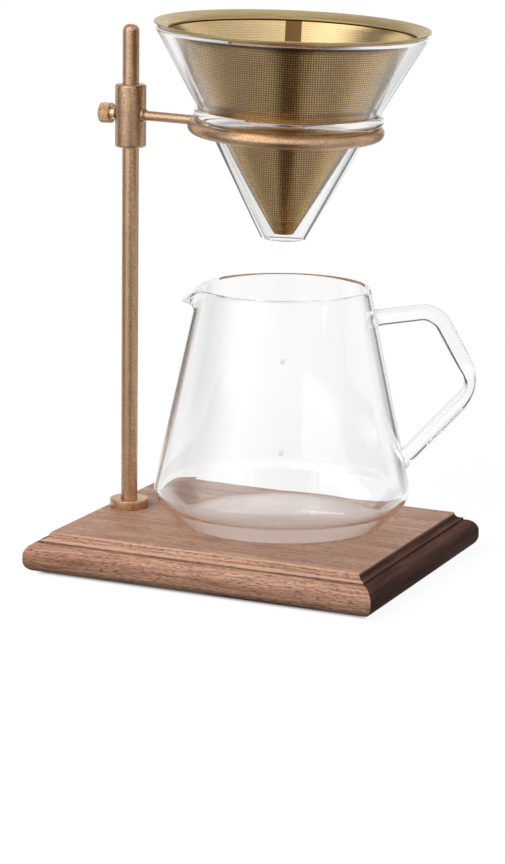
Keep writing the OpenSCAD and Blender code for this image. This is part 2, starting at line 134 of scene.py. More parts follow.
def vector(tree: Tree, operation: str, *values: Socket | tuple[float, ...]) -> Socket:
    """Works on vectors, and gives the number of a length or a product and else the vector."""
    outputs = add(tree, "VectorMath", dict(enumerate(values)), operation=operation).outputs
    return outputs["Value" if operation in ("LENGTH", "DOT_PRODUCT") else "Vector"]


def span(tree: Tree, value: Socket, low: float, high: float, start: float = 0.0, end: float = 1.0) -> Socket:
    """Maps a value from the range low to high to the range start to end, and holds it at both ends."""
    limits = {"From Min": low, "From Max": high, "To Min": start, "To Max": end}
    return add(tree, "MapRange", {"Value": value, **limits}).outputs[0]


def blend(tree: Tree, share: Socket, first: Socket | str, second: Socket | str) -> Socket:
    """Blends two colours, each a socket or an sRGB hex, by the share of the second."""
    ends = [linear(colour) if isinstance(colour, str) else colour for colour in (first, second)]
    return add(tree, "Mix", {0: share, 6: ends[0], 7: ends[1]}, data_type="RGBA").outputs[2]


def between(tree: Tree, share: Socket, first: Socket | float, second: Socket | float) -> Socket:
    """Blends two numbers by the share of the second."""
    return add(tree, "Mix", {0: share, 2: first, 3: second}).outputs[0]


def noise(tree: Tree, place: Socket, sizes: Triple, detail: float, twist: float = 0.0) -> Socket:
    """Adds a noise.

    Args:
        tree: Tree that takes the nodes.
        place: Where it is looked up, in metres.
        sizes: Size of its grain along X, Y and Z.
        detail: Number of finer layers in it.
        twist: How far it is distorted.

    Returns:
        The noise, from 0 to 1.
    """
    drawn = add(tree, "Mapping", {"Vector": place, "Scale": per(*sizes)}).outputs[0]
    return add(tree, "TexNoise", {"Vector": drawn, "Scale": 1.0, "Detail": detail, "Distortion": twist}).outputs[0]


def past_edge(tree: Tree, place: Socket, middle: Pair, half: Pair) -> tuple[Socket, Socket]:
    """Gives how far a place lies past the sides of an upright box: |place - middle| - half, in X and in Y.

    Args:
        tree: Tree that takes the nodes.
        place: The place in metres.
        middle: Middle of the box.
        half: Half length and half depth of the box.

    Returns:
        The two distances in metres, which are negative inside.
    """
    centre, size = (tuple(v / 1000 for v in (*pair, 0)) for pair in (middle, half))
    out = vector(tree, "ABSOLUTE", vector(tree, "SUBTRACT", place, centre))
    parts = add(tree, "SeparateXYZ", {0: vector(tree, "SUBTRACT", out, size)}).outputs
    return parts[0], parts[1]


def bent(tree: Tree) -> Socket:
    """Gives 1 for a ray that was mirrored or bent by glass, and 0 for all others."""
    path = add(tree, "LightPath").outputs
    return calc(tree, "MAXIMUM", path["Is Glossy Ray"], path["Is Transmission Ray"])


def seen_through(tree: Tree) -> Socket:
    """Gives 1 for a ray that was only bent by glass and never mirrored, and 0 for all others."""
    path = add(tree, "LightPath").outputs
    return calc(tree, "MULTIPLY", calc(tree, "LESS_THAN", path["Glossy Depth"], 0.5), path["Is Transmission Ray"])


@dataclass(frozen=True)
class Finish:
    """What a surface is made of and how it was finished."""

    name: str

    def shade(self, tree: Tree) -> Socket:
        """Builds the surface's shader.

        Args:
            tree: Empty node tree of the material.

        Returns:
            The shader's output.
        """
        raise NotImplementedError

    def inside(self, tree: Tree) -> Socket | None:
        """Builds what fills the material, or nothing for an opaque one."""
        return None

    def material(self) -> bpy.types.Material:
        """Gives the material, which is made on the first call."""
        known = bpy.data.materials.get(self.name)
        if known:
            return known
        made = bpy.data.materials.new(self.name)
        made.use_nodes = True
        tree = made.node_tree
        tree.nodes.clear()
        out = add(tree, "OutputMaterial", {"Surface": self.shade(tree)})
        filling = self.inside(tree)
        if filling:
            tree.links.new(filling, out.inputs["Volume"])
        return made


@dataclass(frozen=True)
class OiledWalnut(Finish):
    """Black walnut, planed, moulded and oiled.

    Fine straight grain runs along X with a slow brown figure, short dark pores lie in it, and the mouldings on the
    two ends show end grain, which soaks up more of the oiling and is darker, and is painted darker still as painted
    shade, as on an end turned from the light. The oiling leaves a soft sheen. The arrises are painted pale, a painted
    highlight where they catch the light, and the quirk is painted dark, a painted shade where shade falls.

    Attributes:
        middle: Middle of the board.
        half: Half length and half depth of the flat top, outside which the mouldings lie.
        heights: Heights of the flat top, of the cove's lip and of the quirk's foot.
        bands: Middle of each painted band at these heights, from it, and half its height: highlight, highlight, shade.
        rim: Where the bands of painted highlight begin, as the way past the flat top.
        arris_highlight_share: How much of the wood's colour the painted highlight on the arrises covers.
        quirk_shade_share: How much of it the painted shade in the quirk covers.
    """

    name: str = "oiled_walnut"
    pale: str = "#bd937a"
    brown: str = "#875d48"
    pore: str = "#462c20"
    # End grain: darker than the long grain, and painted darker still as shade, as on an end turned from the light
    end: str = "#5e4035"
    end_dark: str = "#39251f"
    # Painted highlight: pale colour laid on the arrises, where they catch the light
    painted_arris_highlight: str = "#e0bda2"
    # Painted shade: dark colour laid in the quirk, where shade falls
    painted_quirk_shade: str = "#3a251b"
    sway: float = 70.0
    sway_by: float = 4.0
    figure: Triple = (160, 9, 6)
    streak: Triple = (26, 0.9, 0.8)
    # Real pores are half as wide and would not show
    pores: Triple = (2.6, 0.36, 0.36)
    rings: Triple = (60, 34, 1.6)
    middle: Pair = (0.0, 0.0)
    half: Pair = (70.0, 58.0)
    heights: Triple = (18.2, 15.3, 14.3)
    bands: tuple[Pair, ...] = ((-0.2, 0.3), (-0.1, 0.35), (0.1, 0.3))
    rim: Pair = (-0.5, -0.3)
    arris_highlight_share: float = 0.42
    quirk_shade_share: float = 0.5
    figure_share: float = 0.6
    tones: Pair = (0.58, 1.02)
    pore_tones: Pair = (0.5, 0.68)
    pore_share: float = 0.8
    ring_tones: Pair = (0.35, 0.65)
    mitre: float = 0.3
    rough: Pair = (0.38, 0.55)
    end_rough: float = 0.75
    gloss: float = 0.4
    end_gloss: float = 0.15

    def shade(self, tree: Tree) -> Socket:
        """Mixes two browns by the figure and the streaks, then lays in the pores, the bands and the end grain.

        End grain shows where a point is further past the flat top's end than past its side, up to the mitre.
        """
        place = add(tree, "TexCoord").outputs["Object"]
        sway = add(tree, "TexNoise", {"Vector": place, "Scale": per(self.sway)[0], "Detail": 2.0}).outputs["Color"]
        moved = vector(tree, "MULTIPLY_ADD", sway, (self.sway_by / 1000,) * 3, place)
        layers = ((self.figure, 3.0), (self.streak, 4.0), (self.pores, 1.0), (self.rings, 3.0))
        figure, streak, pores, rings = (noise(tree, moved, size, detail) for size, detail in layers)
        grain = calc(tree, "MULTIPLY_ADD", figure, self.figure_share, streak)
        wood = blend(tree, span(tree, grain, *self.tones), self.pale, self.brown)
        pits = span(tree, pores, *self.pore_tones, 0.0, self.pore_share)
        wood = blend(tree, pits, wood, self.pore)
        out = past_edge(tree, place, self.middle, self.half)
        high = add(tree, "SeparateXYZ", {0: place}).outputs[2]
        upper, lower, quirk = (calc(tree, "COMPARE", high, (height + off) / 1000, reach / 1000)
                               for height, (off, reach) in zip(self.heights, self.bands))
        # Pale bands of painted highlight on the arrises, where they catch the light
        rim = span(tree, calc(tree, "MAXIMUM", *out), *(way / 1000 for way in self.rim), 0.0, self.arris_highlight_share)
        wood = blend(tree, calc(tree, "MULTIPLY", calc(tree, "MAXIMUM", upper, lower), rim), wood, self.painted_arris_highlight)
        # Dark band of painted shade in the quirk
        wood = blend(tree, calc(tree, "MULTIPLY", quirk, self.quirk_shade_share), wood, self.painted_quirk_shade)
        # End grain, with painted shade in its colour
        ends = blend(tree, span(tree, rings, *self.ring_tones), self.end, self.end_dark)
        cut = calc(tree, "SUBTRACT", out[0], calc(tree, "MAXIMUM", out[1], 0.0))
        cut = span(tree, cut, 0.0, self.mitre / 1000)
        relief = calc(tree, "MULTIPLY_ADD", pits, -1.0, streak)
        return add(tree, "BsdfPrincipled", {
            "Base Color": blend(tree, cut, wood, ends),
            "Roughness": between(tree, cut, span(tree, grain, 0.5, 1.1, *self.rough), self.end_rough),
            "Specular IOR Level": between(tree, cut, self.gloss, self.end_gloss),
            "Normal": add(tree, "Bump", {"Height": relief, "Strength": 0.35, "Distance": 0.0002}).outputs[0],
        }).outputs[0]


@dataclass(frozen=True)
class BlastedBrass(Finish):
    """Brass, bead-blasted and lacquered: a sandy grain that breaks every highlight into soft specks."""

    name: str = "blasted_brass"
    pale: str = "#f2cca6"
    brown: str = "#88664d"
    # The real grain is about 0.2 and would not show
    grain: float = 0.34
    cloud: float = 9.0
    cloud_share: float = 0.12
    tones: Pair = (0.36, 0.72)
    rough: Pair = (0.44, 0.28)

    def shade(self, tree: Tree) -> Socket:
        """Speckles the metal's colour, roughness and relief with one fine noise, and clouds its colour."""
        place = add(tree, "TexCoord").outputs["Object"]
        specks, clouds = (noise(tree, place, (size,) * 3, 2.0) for size in (self.grain, self.cloud))
        tone = span(tree, calc(tree, "MULTIPLY_ADD", clouds, self.cloud_share, specks), *self.tones)
        return add(tree, "BsdfPrincipled", {
            "Base Color": blend(tree, tone, self.brown, self.pale), "Metallic": 1.0,
            "Roughness": span(tree, specks, *NOISE_RANGE, *self.rough),
            "Normal": add(tree, "Bump", {"Height": specks, "Strength": 0.5, "Distance": 0.0001}).outputs[0],
        }).outputs[0]


@dataclass(frozen=True)
class Mottled(Finish):
    """Surface whose tone, roughness and relief follow one noise.

    Attributes:
        pale: Colour where the noise is high.
        dark: Colour where the noise is low.
        size: Size of the noise's grain.
        rough: Roughness where the noise is low and where it is high, or the same everywhere.
        relief: Strength and height of the relief, or nothing for a smooth surface.
        detail: Number of finer layers in the noise.
        twist: How far the noise is distorted.
        limits: What counts as low and as high.
        metallic: Whether it is a metal.
        fuzz: Weight of the sheen that loose fibres give.
        pattern: Coordinates of the noise.
    """

    pale: str
    dark: str
    size: Triple
    rough: Pair | float = (0.4, 0.28)
    relief: Pair | None = (0.25, 0.05)
    detail: float = 3.0
    twist: float = 0.0
    limits: Pair = NOISE_RANGE
    metallic: float = 1.0
    fuzz: float = 0.0
    pattern: Pattern = Pattern.UNROLLED

    def shade(self, tree: Tree) -> Socket:
        """Lets the noise set the tone, the roughness and the relief."""
        grain = noise(tree, add(tree, "TexCoord").outputs[self.pattern.value], self.size, self.detail, self.twist)
        rough = self.rough if isinstance(self.rough, float) else span(tree, grain, *self.limits, *self.rough)
        inputs = {"Base Color": blend(tree, span(tree, grain, *self.limits), self.dark, self.pale),
                  "Roughness": rough, "Metallic": self.metallic, "Sheen Weight": self.fuzz}
        if self.relief:
            strength, height = self.relief
            bump = add(tree, "Bump", {"Height": grain, "Strength": strength, "Distance": height / 1000})
            inputs["Normal"] = bump.outputs[0]
        return add(tree, "BsdfPrincipled", inputs).outputs[0]


@dataclass(frozen=True)
class EtchedGilt(Finish):
    """Gold-coated stainless sheet, etched in level rows of fine dots.

    The dots are painted paler than the sheet, as painted light for the light that shows through the holes, and are
    half open, so a second sheet behind shows as a shimmer. The top and bottom edges and a strip at the welded seam
    stay plain; the strip is painted dark, a painted reflection of dark surroundings. The inside face is painted
    paler, as painted light, and a painted shadow draws a dark line in the crease where the sheet meets the flange.

    Attributes:
        pitch: Distance of the dots round the cone and up it.
        hole: Height of a dot.
        stretch: How many times wider than high a dot is.
        soft: Half width of a dot's edge, as a share of the pitch.
        closed: How much of a dot is closed.
        foot: Height up the sheet at which the dots begin.
        top: Height at which they end.
        crease_shadow_from: Height from which the painted shadow in the crease under the flange darkens the sheet.
        seam: Half width of the plain strip.
    """

    name: str = "etched_gilt_sheet"
    pale: str = "#ae8642"
    dark: str = "#9c7434"
    # Painted light: the inside face of the sheet is painted paler than the outside
    within: str = "#dcbd8a"
    # Painted light: the dots get this pale colour for the light that shows through the holes
    glint: str = "#f2db9e"
    # Painted reflection: the plain seam strip gets this dark colour for the dark surroundings it mirrors
    strip: str = "#6e5431"
    # Painted shadow: dark line in the crease where the sheet meets the flange
    crease_shadow: str = "#2e2010"
    # Real holes are about 0.2 wide and 0.4 apart and would not show, so each dot stands for a few of them
    pitch: Pair = (1.07, 1.2)
    hole: float = 0.62
    stretch: float = 1.25
    soft: float = 0.04
    closed: float = 0.6
    foot: float = 4.0
    top: float = 96.4
    crease_shadow_from: float = 97.3
    seam: float = 3.7
    bloom: Triple = (12, 12, 1)
    rough: Pair = (0.28, 0.22)

    def shade(self, tree: Tree) -> Socket:
        """Sets a lattice of half open dots, painted pale as painted light, on the unrolled sheet."""
        place = add(tree, "TexCoord").outputs["UV"]
        cells = vector(tree, "FRACTION", vector(tree, "MULTIPLY", place, per(*self.pitch, 1)))
        near = vector(tree, "SUBTRACT", cells, (0.5, 0.5, 0))
        away = vector(tree, "LENGTH", vector(tree, "MULTIPLY", near, (1 / self.stretch, 1, 1)))
        edge = self.hole / self.pitch[1] / 2
        solid = span(tree, away, edge - self.soft, edge + self.soft)
        up = add(tree, "SeparateXYZ", {0: place}).outputs[1]
        # Above the top the sheet is plain, and higher up lies the painted shadow of the crease under the flange
        high, crease_shadow = (calc(tree, "GREATER_THAN", up, limit / 1000) for limit in (self.top, self.crease_shadow_from))
        plain = calc(tree, "MAXIMUM", high, calc(tree, "LESS_THAN", up, self.foot / 1000))
        seam, within = (add(tree, "Attribute", attribute_name=name).outputs["Fac"]
                        for name in ("seam_distance", "within"))
        # The plain seam strip, which is painted dark as a painted reflection
        strip = calc(tree, "LESS_THAN", seam, self.seam / 1000)
        whole = calc(tree, "MAXIMUM", solid, calc(tree, "MAXIMUM", plain, strip))
        bloom = noise(tree, place, self.bloom, 2.0)
        colour = blend(tree, span(tree, bloom, *NOISE_RANGE), self.dark, self.pale)
        # Painted light on the inside face and on the dots, and a painted reflection on the seam strip
        colour = blend(tree, within, colour, self.within)
        colour = blend(tree, whole, self.glint, colour)
        colour = blend(tree, strip, colour, self.strip)
        # The crease under the flange is darkened with painted shadow
        return add(tree, "BsdfPrincipled", {
            "Base Color": blend(tree, crease_shadow, colour, self.crease_shadow), "Metallic": 1.0,
            "Roughness": span(tree, bloom, *NOISE_RANGE, *self.rough),
            "Alpha": span(tree, whole, 0.0, 1.0, self.closed),
        }).outputs[0]


@dataclass(frozen=True)
class ClearGlass(Finish):
    """Borosilicate glass, blown and fire-polished: clear and smooth, greyer where the eye looks along the wall."""

    name: str = "borosilicate_glass"
    tint: str = "#b9bfc0"
    # Depth in which the tint takes full hold
    depth: float = 240.0
    ior: float = 1.47
    # Reflections after which a ray counts as caught in the wall
    caught: float = 2.5

    def shade(self, tree: Tree) -> Socket:
        """Lets lamps, bounced light and rays that were caught in the wall straight through, and bends all others."""
        glass = add(tree, "BsdfPrincipled", {"Base Color": linear("#ffffff"), "Roughness": 0.0, "IOR": self.ior,
                                             "Transmission Weight": 1.0}).outputs[0]
        path = add(tree, "LightPath").outputs
        lamp = calc(tree, "MAXIMUM", path["Is Shadow Ray"], path["Is Diffuse Ray"])
        lamp = calc(tree, "MAXIMUM", lamp, calc(tree, "GREATER_THAN", path["Glossy Depth"], self.caught))
        return add(tree, "MixShader", {0: lamp, 1: glass, 2: add(tree, "BsdfTransparent").outputs[0]}).outputs[0]

    def inside(self, tree: Tree) -> Socket:
        """Takes a little light on the way through, so that edges and the thick rod look greyer than the walls."""
        return add(tree, "VolumeAbsorption", {"Color": linear(self.tint), "Density": per(self.depth)[0]}).outputs[0]


@dataclass(frozen=True)
class Surround:
    """What metal and glass see round the stand.

    A white wall stands behind it, dark flags beside that, and bright boxes in front, most of all at the left, in place
    of the lamps' mirror images. The flags draw the thin dark lines along the edges of glass and metal.

    Attributes:
        behind: Direction of the wall, in degrees from +Y towards -X.
        ceiling: Share of the brightness that is left straight above.
        ceiling_from: Sines of the heights between which it falls to that share.
        levels: Angle in degrees from the middle of the wall, growing to the right, and the brightness there.
    """

    behind: float = 24.153
    ceiling: float = 0.6
    ceiling_from: Pair = (0.86, 0.96)
    levels: tuple[Pair, ...] = (
        (-180, 1.15), (-160, 1.5), (-135, 2.0), (-115, 1.5), (-95, 0.3), (-75, 0.15), (-60, 1.0), (-35, 1.0),
        (-33, 0.1), (-20, 0.1), (-18, 0.85), (-6, 0.88), (-2, 1.0), (6, 1.0), (29, 0.97), (31, 0.1), (50, 0.1),
        (52, 1.0), (60, 1.0), (90, 0.7), (125, 0.8), (150, 1.0), (180, 1.2),
    )

    def level(self, tree: Tree, way: Socket) -> Socket:
        """Gives the brightness in a direction.

        The angle is the arc tangent of the direction's share to the right over its share to the back.

        Args:
            tree: Tree that takes the nodes.
            way: Direction from the stand.

        Returns:
            The brightness, of which 1 is white.
        """
        c, s = math.cos(math.radians(self.behind)), math.sin(math.radians(self.behind))
        side, back = (vector(tree, "DOT_PRODUCT", way, axis) for axis in ((c, s, 0), (-s, c, 0)))
        ramp = add(tree, "ValToRGB", {0: span(tree, calc(tree, "ARCTAN2", side, back), -math.pi, math.pi)})
        stops = ramp.color_ramp.elements
        while len(stops) < len(self.levels):
            stops.new(0.5)
        for stop, (at, level) in zip(stops, self.levels):
            stop.position, stop.color = at / 360 + 0.5, (level, level, level, 1.0)
        rise = add(tree, "SeparateXYZ", {0: way}).outputs[2]
        return calc(tree, "MULTIPLY", ramp.outputs[0], span(tree, rise, *self.ceiling_from, 1.0, self.ceiling))


@dataclass(frozen=True)
class StudioFloor(Finish):
    """White card: seen as white by the camera, with the stand's shadow kept, and running into the surroundings.

    Attributes:
        card: Colour of the card under the lamps.
        glow: Light that is added for the camera.
        contact_shadow_fade: The ways past the board's sides between which the glow sets in over a painted shadow.
        near: Distance from which the card runs into the surroundings.
        far: Distance at which it has done so.
        under_middle: Middle of the board.
        under_half: Half length and half depth of the board.
        clear: Brightness near the stand for rays that were only bent by glass.
        close: What mirrored rays see near the stand.
        surround: What they see far from it.
        through: What rays that were only bent by glass see there.
    """

    name: str = "white_card"
    card: str = "#484848"
    glow: float = 0.935
    contact_shadow_fade: Pair = (-9.0, -4.0)
    near: float = 200.0
    far: float = 420.0
    under_middle: Pair = (0.0, 0.0)
    under_half: Pair = (83.0, 67.0)
    clear: float = 0.95
    close: Surround = Surround(levels=(
        (-180, 0.05), (-168, 0.06), (-152, 0.46), (-120, 0.46), (-100, 0.42), (-80, 0.5), (-60, 0.95), (80, 0.95),
        (100, 0.55), (120, 0.48), (152, 0.46), (168, 0.06), (180, 0.05),
    ))
    surround: Surround = Surround(levels=(
        (-180, 0.08), (-168, 0.09), (-152, 0.62), (-120, 0.75), (-105, 0.3), (-75, 0.2), (-60, 0.9), (-35, 0.9),
        (-33, 0.1), (-20, 0.1), (-18, 0.84), (-7, 0.87), (-3, 1.0), (3, 1.0), (29, 0.97), (31, 0.1), (50, 0.1),
        (52, 0.9), (60, 0.85), (90, 0.55), (152, 0.55), (168, 0.09), (180, 0.08),
    ))
    through: Surround = Surround(levels=(
        (-180, 1.0), (-60, 0.95), (-35, 0.9), (-33, 0.1), (-20, 0.1), (-18, 0.84), (-7, 0.87), (-3, 1.0), (3, 1.0),
        (29, 0.97), (31, 0.1), (50, 0.1), (52, 0.9), (60, 0.95), (180, 1.0),
    ))

    def shade(self, tree: Tree) -> Socket:
        """Adds a glow to the lit card near the stand for the camera, and takes on the surroundings everywhere else.

        Under the board the glow fades out within a few millimetres, which leaves a painted shadow,
        the dark line where the board stands.
        """
        camera = add(tree, "LightPath").outputs["Is Camera Ray"]
        place = add(tree, "TexCoord").outputs["Object"]
        out = calc(tree, "MAXIMUM", *past_edge(tree, place, self.under_middle, self.under_half))
        # Painted shadow: the glow fades out just inside the board's edges
        glow = span(tree, out, *(way / 1000 for way in self.contact_shadow_fade), 0.0, self.glow)
        glow = add(tree, "Emission", {"Strength": calc(tree, "MULTIPLY", camera, glow)}).outputs[0]
        card = add(tree, "BsdfDiffuse", {"Color": linear(self.card)}).outputs[0]
        lit = add(tree, "AddShader", {0: card, 1: glow}).outputs[0]
        far = span(tree, vector(tree, "LENGTH", place), self.near / 1000, self.far / 1000)
        level = between(tree, far, self.close.level(tree, place), self.surround.level(tree, place))
        clear = between(tree, far, self.clear, self.through.level(tree, place))
        level = between(tree, seen_through(tree), level, clear)
        white = add(tree, "Emission", {"Strength": between(tree, camera, level, 1.0)}).outputs[0]
        plain = calc(tree, "MAXIMUM", calc(tree, "MULTIPLY", far, camera), bent(tree))
        return add(tree, "MixShader", {0: plain, 1: lit, 2: white}).outputs[0]


BRASS = BlastedBrass()
# Polished brass with fine turning marks, which draw its highlights out
KNURLED_BRASS = Mottled("turned_bright_brass", "#f6dcbc", "#cda884", (6, 0.4, 1), (0.3, 0.18))
# Gold-coated sheet, brushed round and round: a satin gloss with a highlight drawn out across the strokes
GILT = Mottled("satin_gilt_sheet", "#dcc698", "#bb9f6c", (14, 0.3, 1))
# The same, painted darker inside the glass, as painted shade
SHADED_PLAIN_GILT = Mottled("plain_gilt_sheet_painted_shade", "#a8844a", "#8e6c38", (14, 0.3, 1))
MESH = EtchedGilt()
GLASS = ClearGlass()
# Pressed wool, matt and fibrous; real fibres are about 0.03 wide and would not show
FELT = Mottled("wool_felt", "#5c5650", "#3a3633", (1.6, 0.35, 0.35), 0.95, (0.6, 0.2), twist=1.5, limits=(0, 1),
               metallic=0.0, fuzz=0.3, pattern=Pattern.SOLID)
# Zinc-plated steel: pale grey metal with a faint cloudy bloom
STEEL = Mottled("zinc_plated_steel", "#c4c4bf", "#94948e", (1.5, 1.5, 1.5), (0.25, 0.45), None, limits=(0, 1),
                pattern=Pattern.SOLID)
# Grey enamel fired on the glass: matt, with the faint grain of the screen it was printed through
INK = Mottled("fired_grey_ink", "#f0eeec", "#e2e0de", (0.4, 0.4, 0.4), 0.6, None, 2.0, limits=(0, 1), metallic=0.0,
              pattern=Pattern.SOLID)


@dataclass(frozen=True)
class Grid:
    """A surface on a grid of two parameters.

    Attributes:
        points: Place of each row and column.
        uv: Place in metres on the unrolled surface, with one more row or column where the grid closes.
        ring: Whether the last column joins the first.
        loop: Whether the last row joins the first.
    """

    points: Array
    uv: Array
    ring: bool = True
    loop: bool = False

    def corners(self, index: Array) -> Array:
        """Lists the four corners of each face.

        Args:
            index: One entry for each row and column, closed where the grid closes.

        Returns:
            An array of faces by corners, in the order that points outwards.
        """
        four = (index[:-1, :-1], index[:-1, 1:], index[1:, 1:], index[1:, :-1])
        return np.stack(four, axis=2).reshape(-1, 4, *index.shape[2:])

    def faces(self) -> Array:
        """Gives the vertex numbers of each face."""
        index = np.arange(self.points[..., 0].size).reshape(self.points.shape[:2])
        return self.corners(np.pad(index, ((0, int(self.loop)), (0, int(self.ring))), mode="wrap"))


@dataclass(frozen=True)
class Frame:
    """A place to build in: an origin and three axes, which are the rows of a matrix."""

    origin: Array
    axes: Array

    @classmethod
    def upright(cls, x: float, y: float, z: float, turn: float = 0.0) -> "Frame":
        """Makes a frame whose Z is up and whose X is turned by some degrees."""
        c, s = math.cos(math.radians(turn)), math.sin(math.radians(turn))
        return cls(np.array([x, y, z]), np.array([[c, s, 0], [-s, c, 0], [0, 0, 1]]))

    @classmethod
    def about(cls, origin: Array, axis: Array) -> "Frame":
        """Makes a frame whose Z runs along an axis and whose X lies level with the world's XZ plane."""
        z = axis / np.linalg.norm(axis)
        x = np.cross((0.0, 1.0, 0.0), z)
        x = x / np.linalg.norm(x)
        return cls(origin, np.array([x, np.cross(z, x), z]))

    def place(self, local: Array) -> Array:
        """Turns local points to the model's frame."""
        return self.origin + local @ self.axes


def make_piece(
    name: str, grids: list[Grid], finish: Finish, body: Body, nodes: tuple[str, ...], crease: float = 35
) -> bpy.types.Object:
    """Joins grids into one closed mesh, dresses it and lets it ride on its body.

    Args:
        name: Name of the piece.
        grids: Surfaces of the piece.
        finish: What it is made of.
        body: Body that it moves with.
        nodes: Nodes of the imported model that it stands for.
        crease: Angle in degrees from which an edge stays sharp.

    Returns:
        The finished object, at the origin.
    """
    first = np.cumsum([0] + [grid.points[..., 0].size for grid in grids])
    points = np.concatenate([grid.points.reshape(-1, 3) for grid in grids]) / 1000
    faces = np.concatenate([grid.faces() + start for grid, start in zip(grids, first)])
    uv = np.concatenate([grid.corners(grid.uv) for grid in grids])
    mesh = bpy.data.meshes.new(name)
    mesh.from_pydata(points.tolist(), [], faces.tolist())
    mesh.uv_layers.new(name="UVMap").data.foreach_set("uv", uv.ravel())
    work = bmesh.new()
    work.from_mesh(mesh)
    bmesh.ops.remove_doubles(work, verts=work.verts, dist=1e-6)
    work.to_mesh(mesh)
    work.free()
    mesh.shade_smooth()
    mesh.set_sharp_from_angle(angle=math.radians(crease))
    mesh.materials.append(finish.material())
    piece = bpy.data.objects.new(name, mesh)
    bpy.context.scene.collection.objects.link(piece)
    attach(piece, body.value)
    if nodes:
        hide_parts(*nodes)
    LOG.info("%s: %d faces, on %s, in %s", name, len(mesh.polygons), body.value, finish.name)
    return piece


def dress_node(node: str, finish: Finish) -> None:
    """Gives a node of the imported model, which keeps its shape, a finish."""
    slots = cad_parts[node].data.materials
    slots.clear()
    slots.append(finish.material())
    LOG.info("%s: packed shape, in %s", node, finish.name)


def cad_box(node: str) -> tuple[Array, Array]:
    """Gives a node's lowest and highest corner."""
    low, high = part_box(node)
    return np.array(low) * 1000, np.array(high) * 1000


def cad_middle(node: str) -> Array:
    """Gives the middle of a node's box."""
    return np.mean(cad_box(node), axis=0)


def footprint(node: str, inset: float = 0.0) -> tuple[Pair, Pair]:
    """Gives the middle, and the half length and half depth less an inset, of a node's box seen from above."""
    low, high = cad_box(node)
    return tuple(cad_middle(node)[:2].tolist()), tuple(((high - low)[:2] / 2 - inset).tolist())


def arc(centre: Pair, radius: float, start: float, end: float, steps: int = 12) -> Array:
    """Draws an arc: centre + radius times (cos a, sin a).

    Args:
        centre: Centre of the arc.
        radius: Radius of the arc.
        start: First angle in degrees.
        end: Last angle in degrees.
        steps: Number of steps between them.

    Returns:
        The points of the arc, both ends included.
    """
    angle = np.radians(np.linspace(start, end, steps + 1))
    return np.array(centre) + radius * np.column_stack([np.cos(angle), np.sin(angle)])


def rounded(corners: Array, radius: Array, steps: int = 8) -> Array:
    """Rounds the inner corners of an open line of points.

    Each round touches both sides. Its points are a blend of the directions to the two touching points in which each
    has the share sin(w (1 - t)) or sin(w t) over sin w, w being the angle of the round.

    Args:
        corners: Points of the line, in a plane or in space.
        radius: Radius at each inner corner.
        steps: Steps in each round.

    Returns:
        The points of the rounded line.
    """
    at = corners[1:-1]
    back, on = corners[:-2] - at, corners[2:] - at
    back = back / np.linalg.norm(back, axis=1, keepdims=True)
    on = on / np.linalg.norm(on, axis=1, keepdims=True)
    half = np.arccos(np.clip((back * on).sum(1), -1, 1))[:, None] / 2
    size = np.broadcast_to(np.asarray(radius, float), (len(at),))[:, None]
    middle = (back + on) / np.linalg.norm(back + on, axis=1, keepdims=True)
    centre = at + middle * size / np.sin(half)
    start, end = at + back * size / np.tan(half) - centre, at + on * size / np.tan(half) - centre
    t = np.linspace(0, 1, steps + 1)[None, :, None]
    w = (math.pi - 2 * half)[:, :, None]
    bend = (np.sin(w * (1 - t)) * start[:, None] + np.sin(w * t) * end[:, None]) / np.sin(w) + centre[:, None]
    return np.concatenate([corners[:1], bend.reshape(-1, corners.shape[1]), corners[-1:]])


def length_along(points: Array) -> Array:
    """Gives the distance of each point from the first, measured along the line."""
    return np.concatenate([[0.0], np.cumsum(np.linalg.norm(np.diff(points, axis=0), axis=1))])


def spread(points: Array, step: float) -> Array:
    """Places points at even steps along a line."""
    along = length_along(points)
    even = np.linspace(0, along[-1], max(2, round(along[-1] / step) + 1))
    return np.column_stack([np.interp(even, along, side) for side in points.T])


def evenly(columns: int, start: float = 0.0) -> Array:
    """Gives evenly spaced angles once round, from a start in degrees."""
    return math.radians(start) + np.linspace(0, 2 * math.pi, columns, endpoint=False)


def once_round(angle: Array) -> Array:
    """Closes evenly ordered angles, and counts them from half a turn before the middle."""
    return np.append(angle, angle[0] + 2 * math.pi) - angle[0] - math.pi


def turned(r: Array, z: Array, angle: Array) -> Array:
    """Gives the points at some radii, heights and angles: (r cos a, r sin a, z)."""
    return np.stack(np.broadcast_arrays(r * np.cos(angle), r * np.sin(angle), z + 0 * angle), axis=2)


def unroll(around: Array, turn: Array, along: Array) -> Array:
    """Gives the unrolled place of each corner in metres: u = radius times turn, v = the way along."""
    return np.stack(np.broadcast_arrays(around[:, None] * turn, along[:, None] + 0 * turn), axis=2) / 1000


def revolve(outline: Array, place: Frame, columns: int = 96, loop: bool = True, start: float = 0.0) -> Grid:
    """Turns an outline of radius and height about a frame's Z.

    Args:
        outline: Radius and height of each row, with the solid on the left of the way along it.
        place: Frame to build in.
        columns: Number of angles.
        loop: Whether the outline closes on itself, and doesn't end on the axis.
        start: First angle in degrees.

    Returns:
        The surface.
    """
    angle = evenly(columns, start)
    r, z = outline[:, :1], outline[:, 1:]
    closed = np.concatenate([outline, outline[:1]]) if loop else outline
    uv = unroll(np.full(len(closed), r.max()), once_round(angle), length_along(closed))
    return Grid(place.place(turned(r, z, angle)), uv, loop=loop)


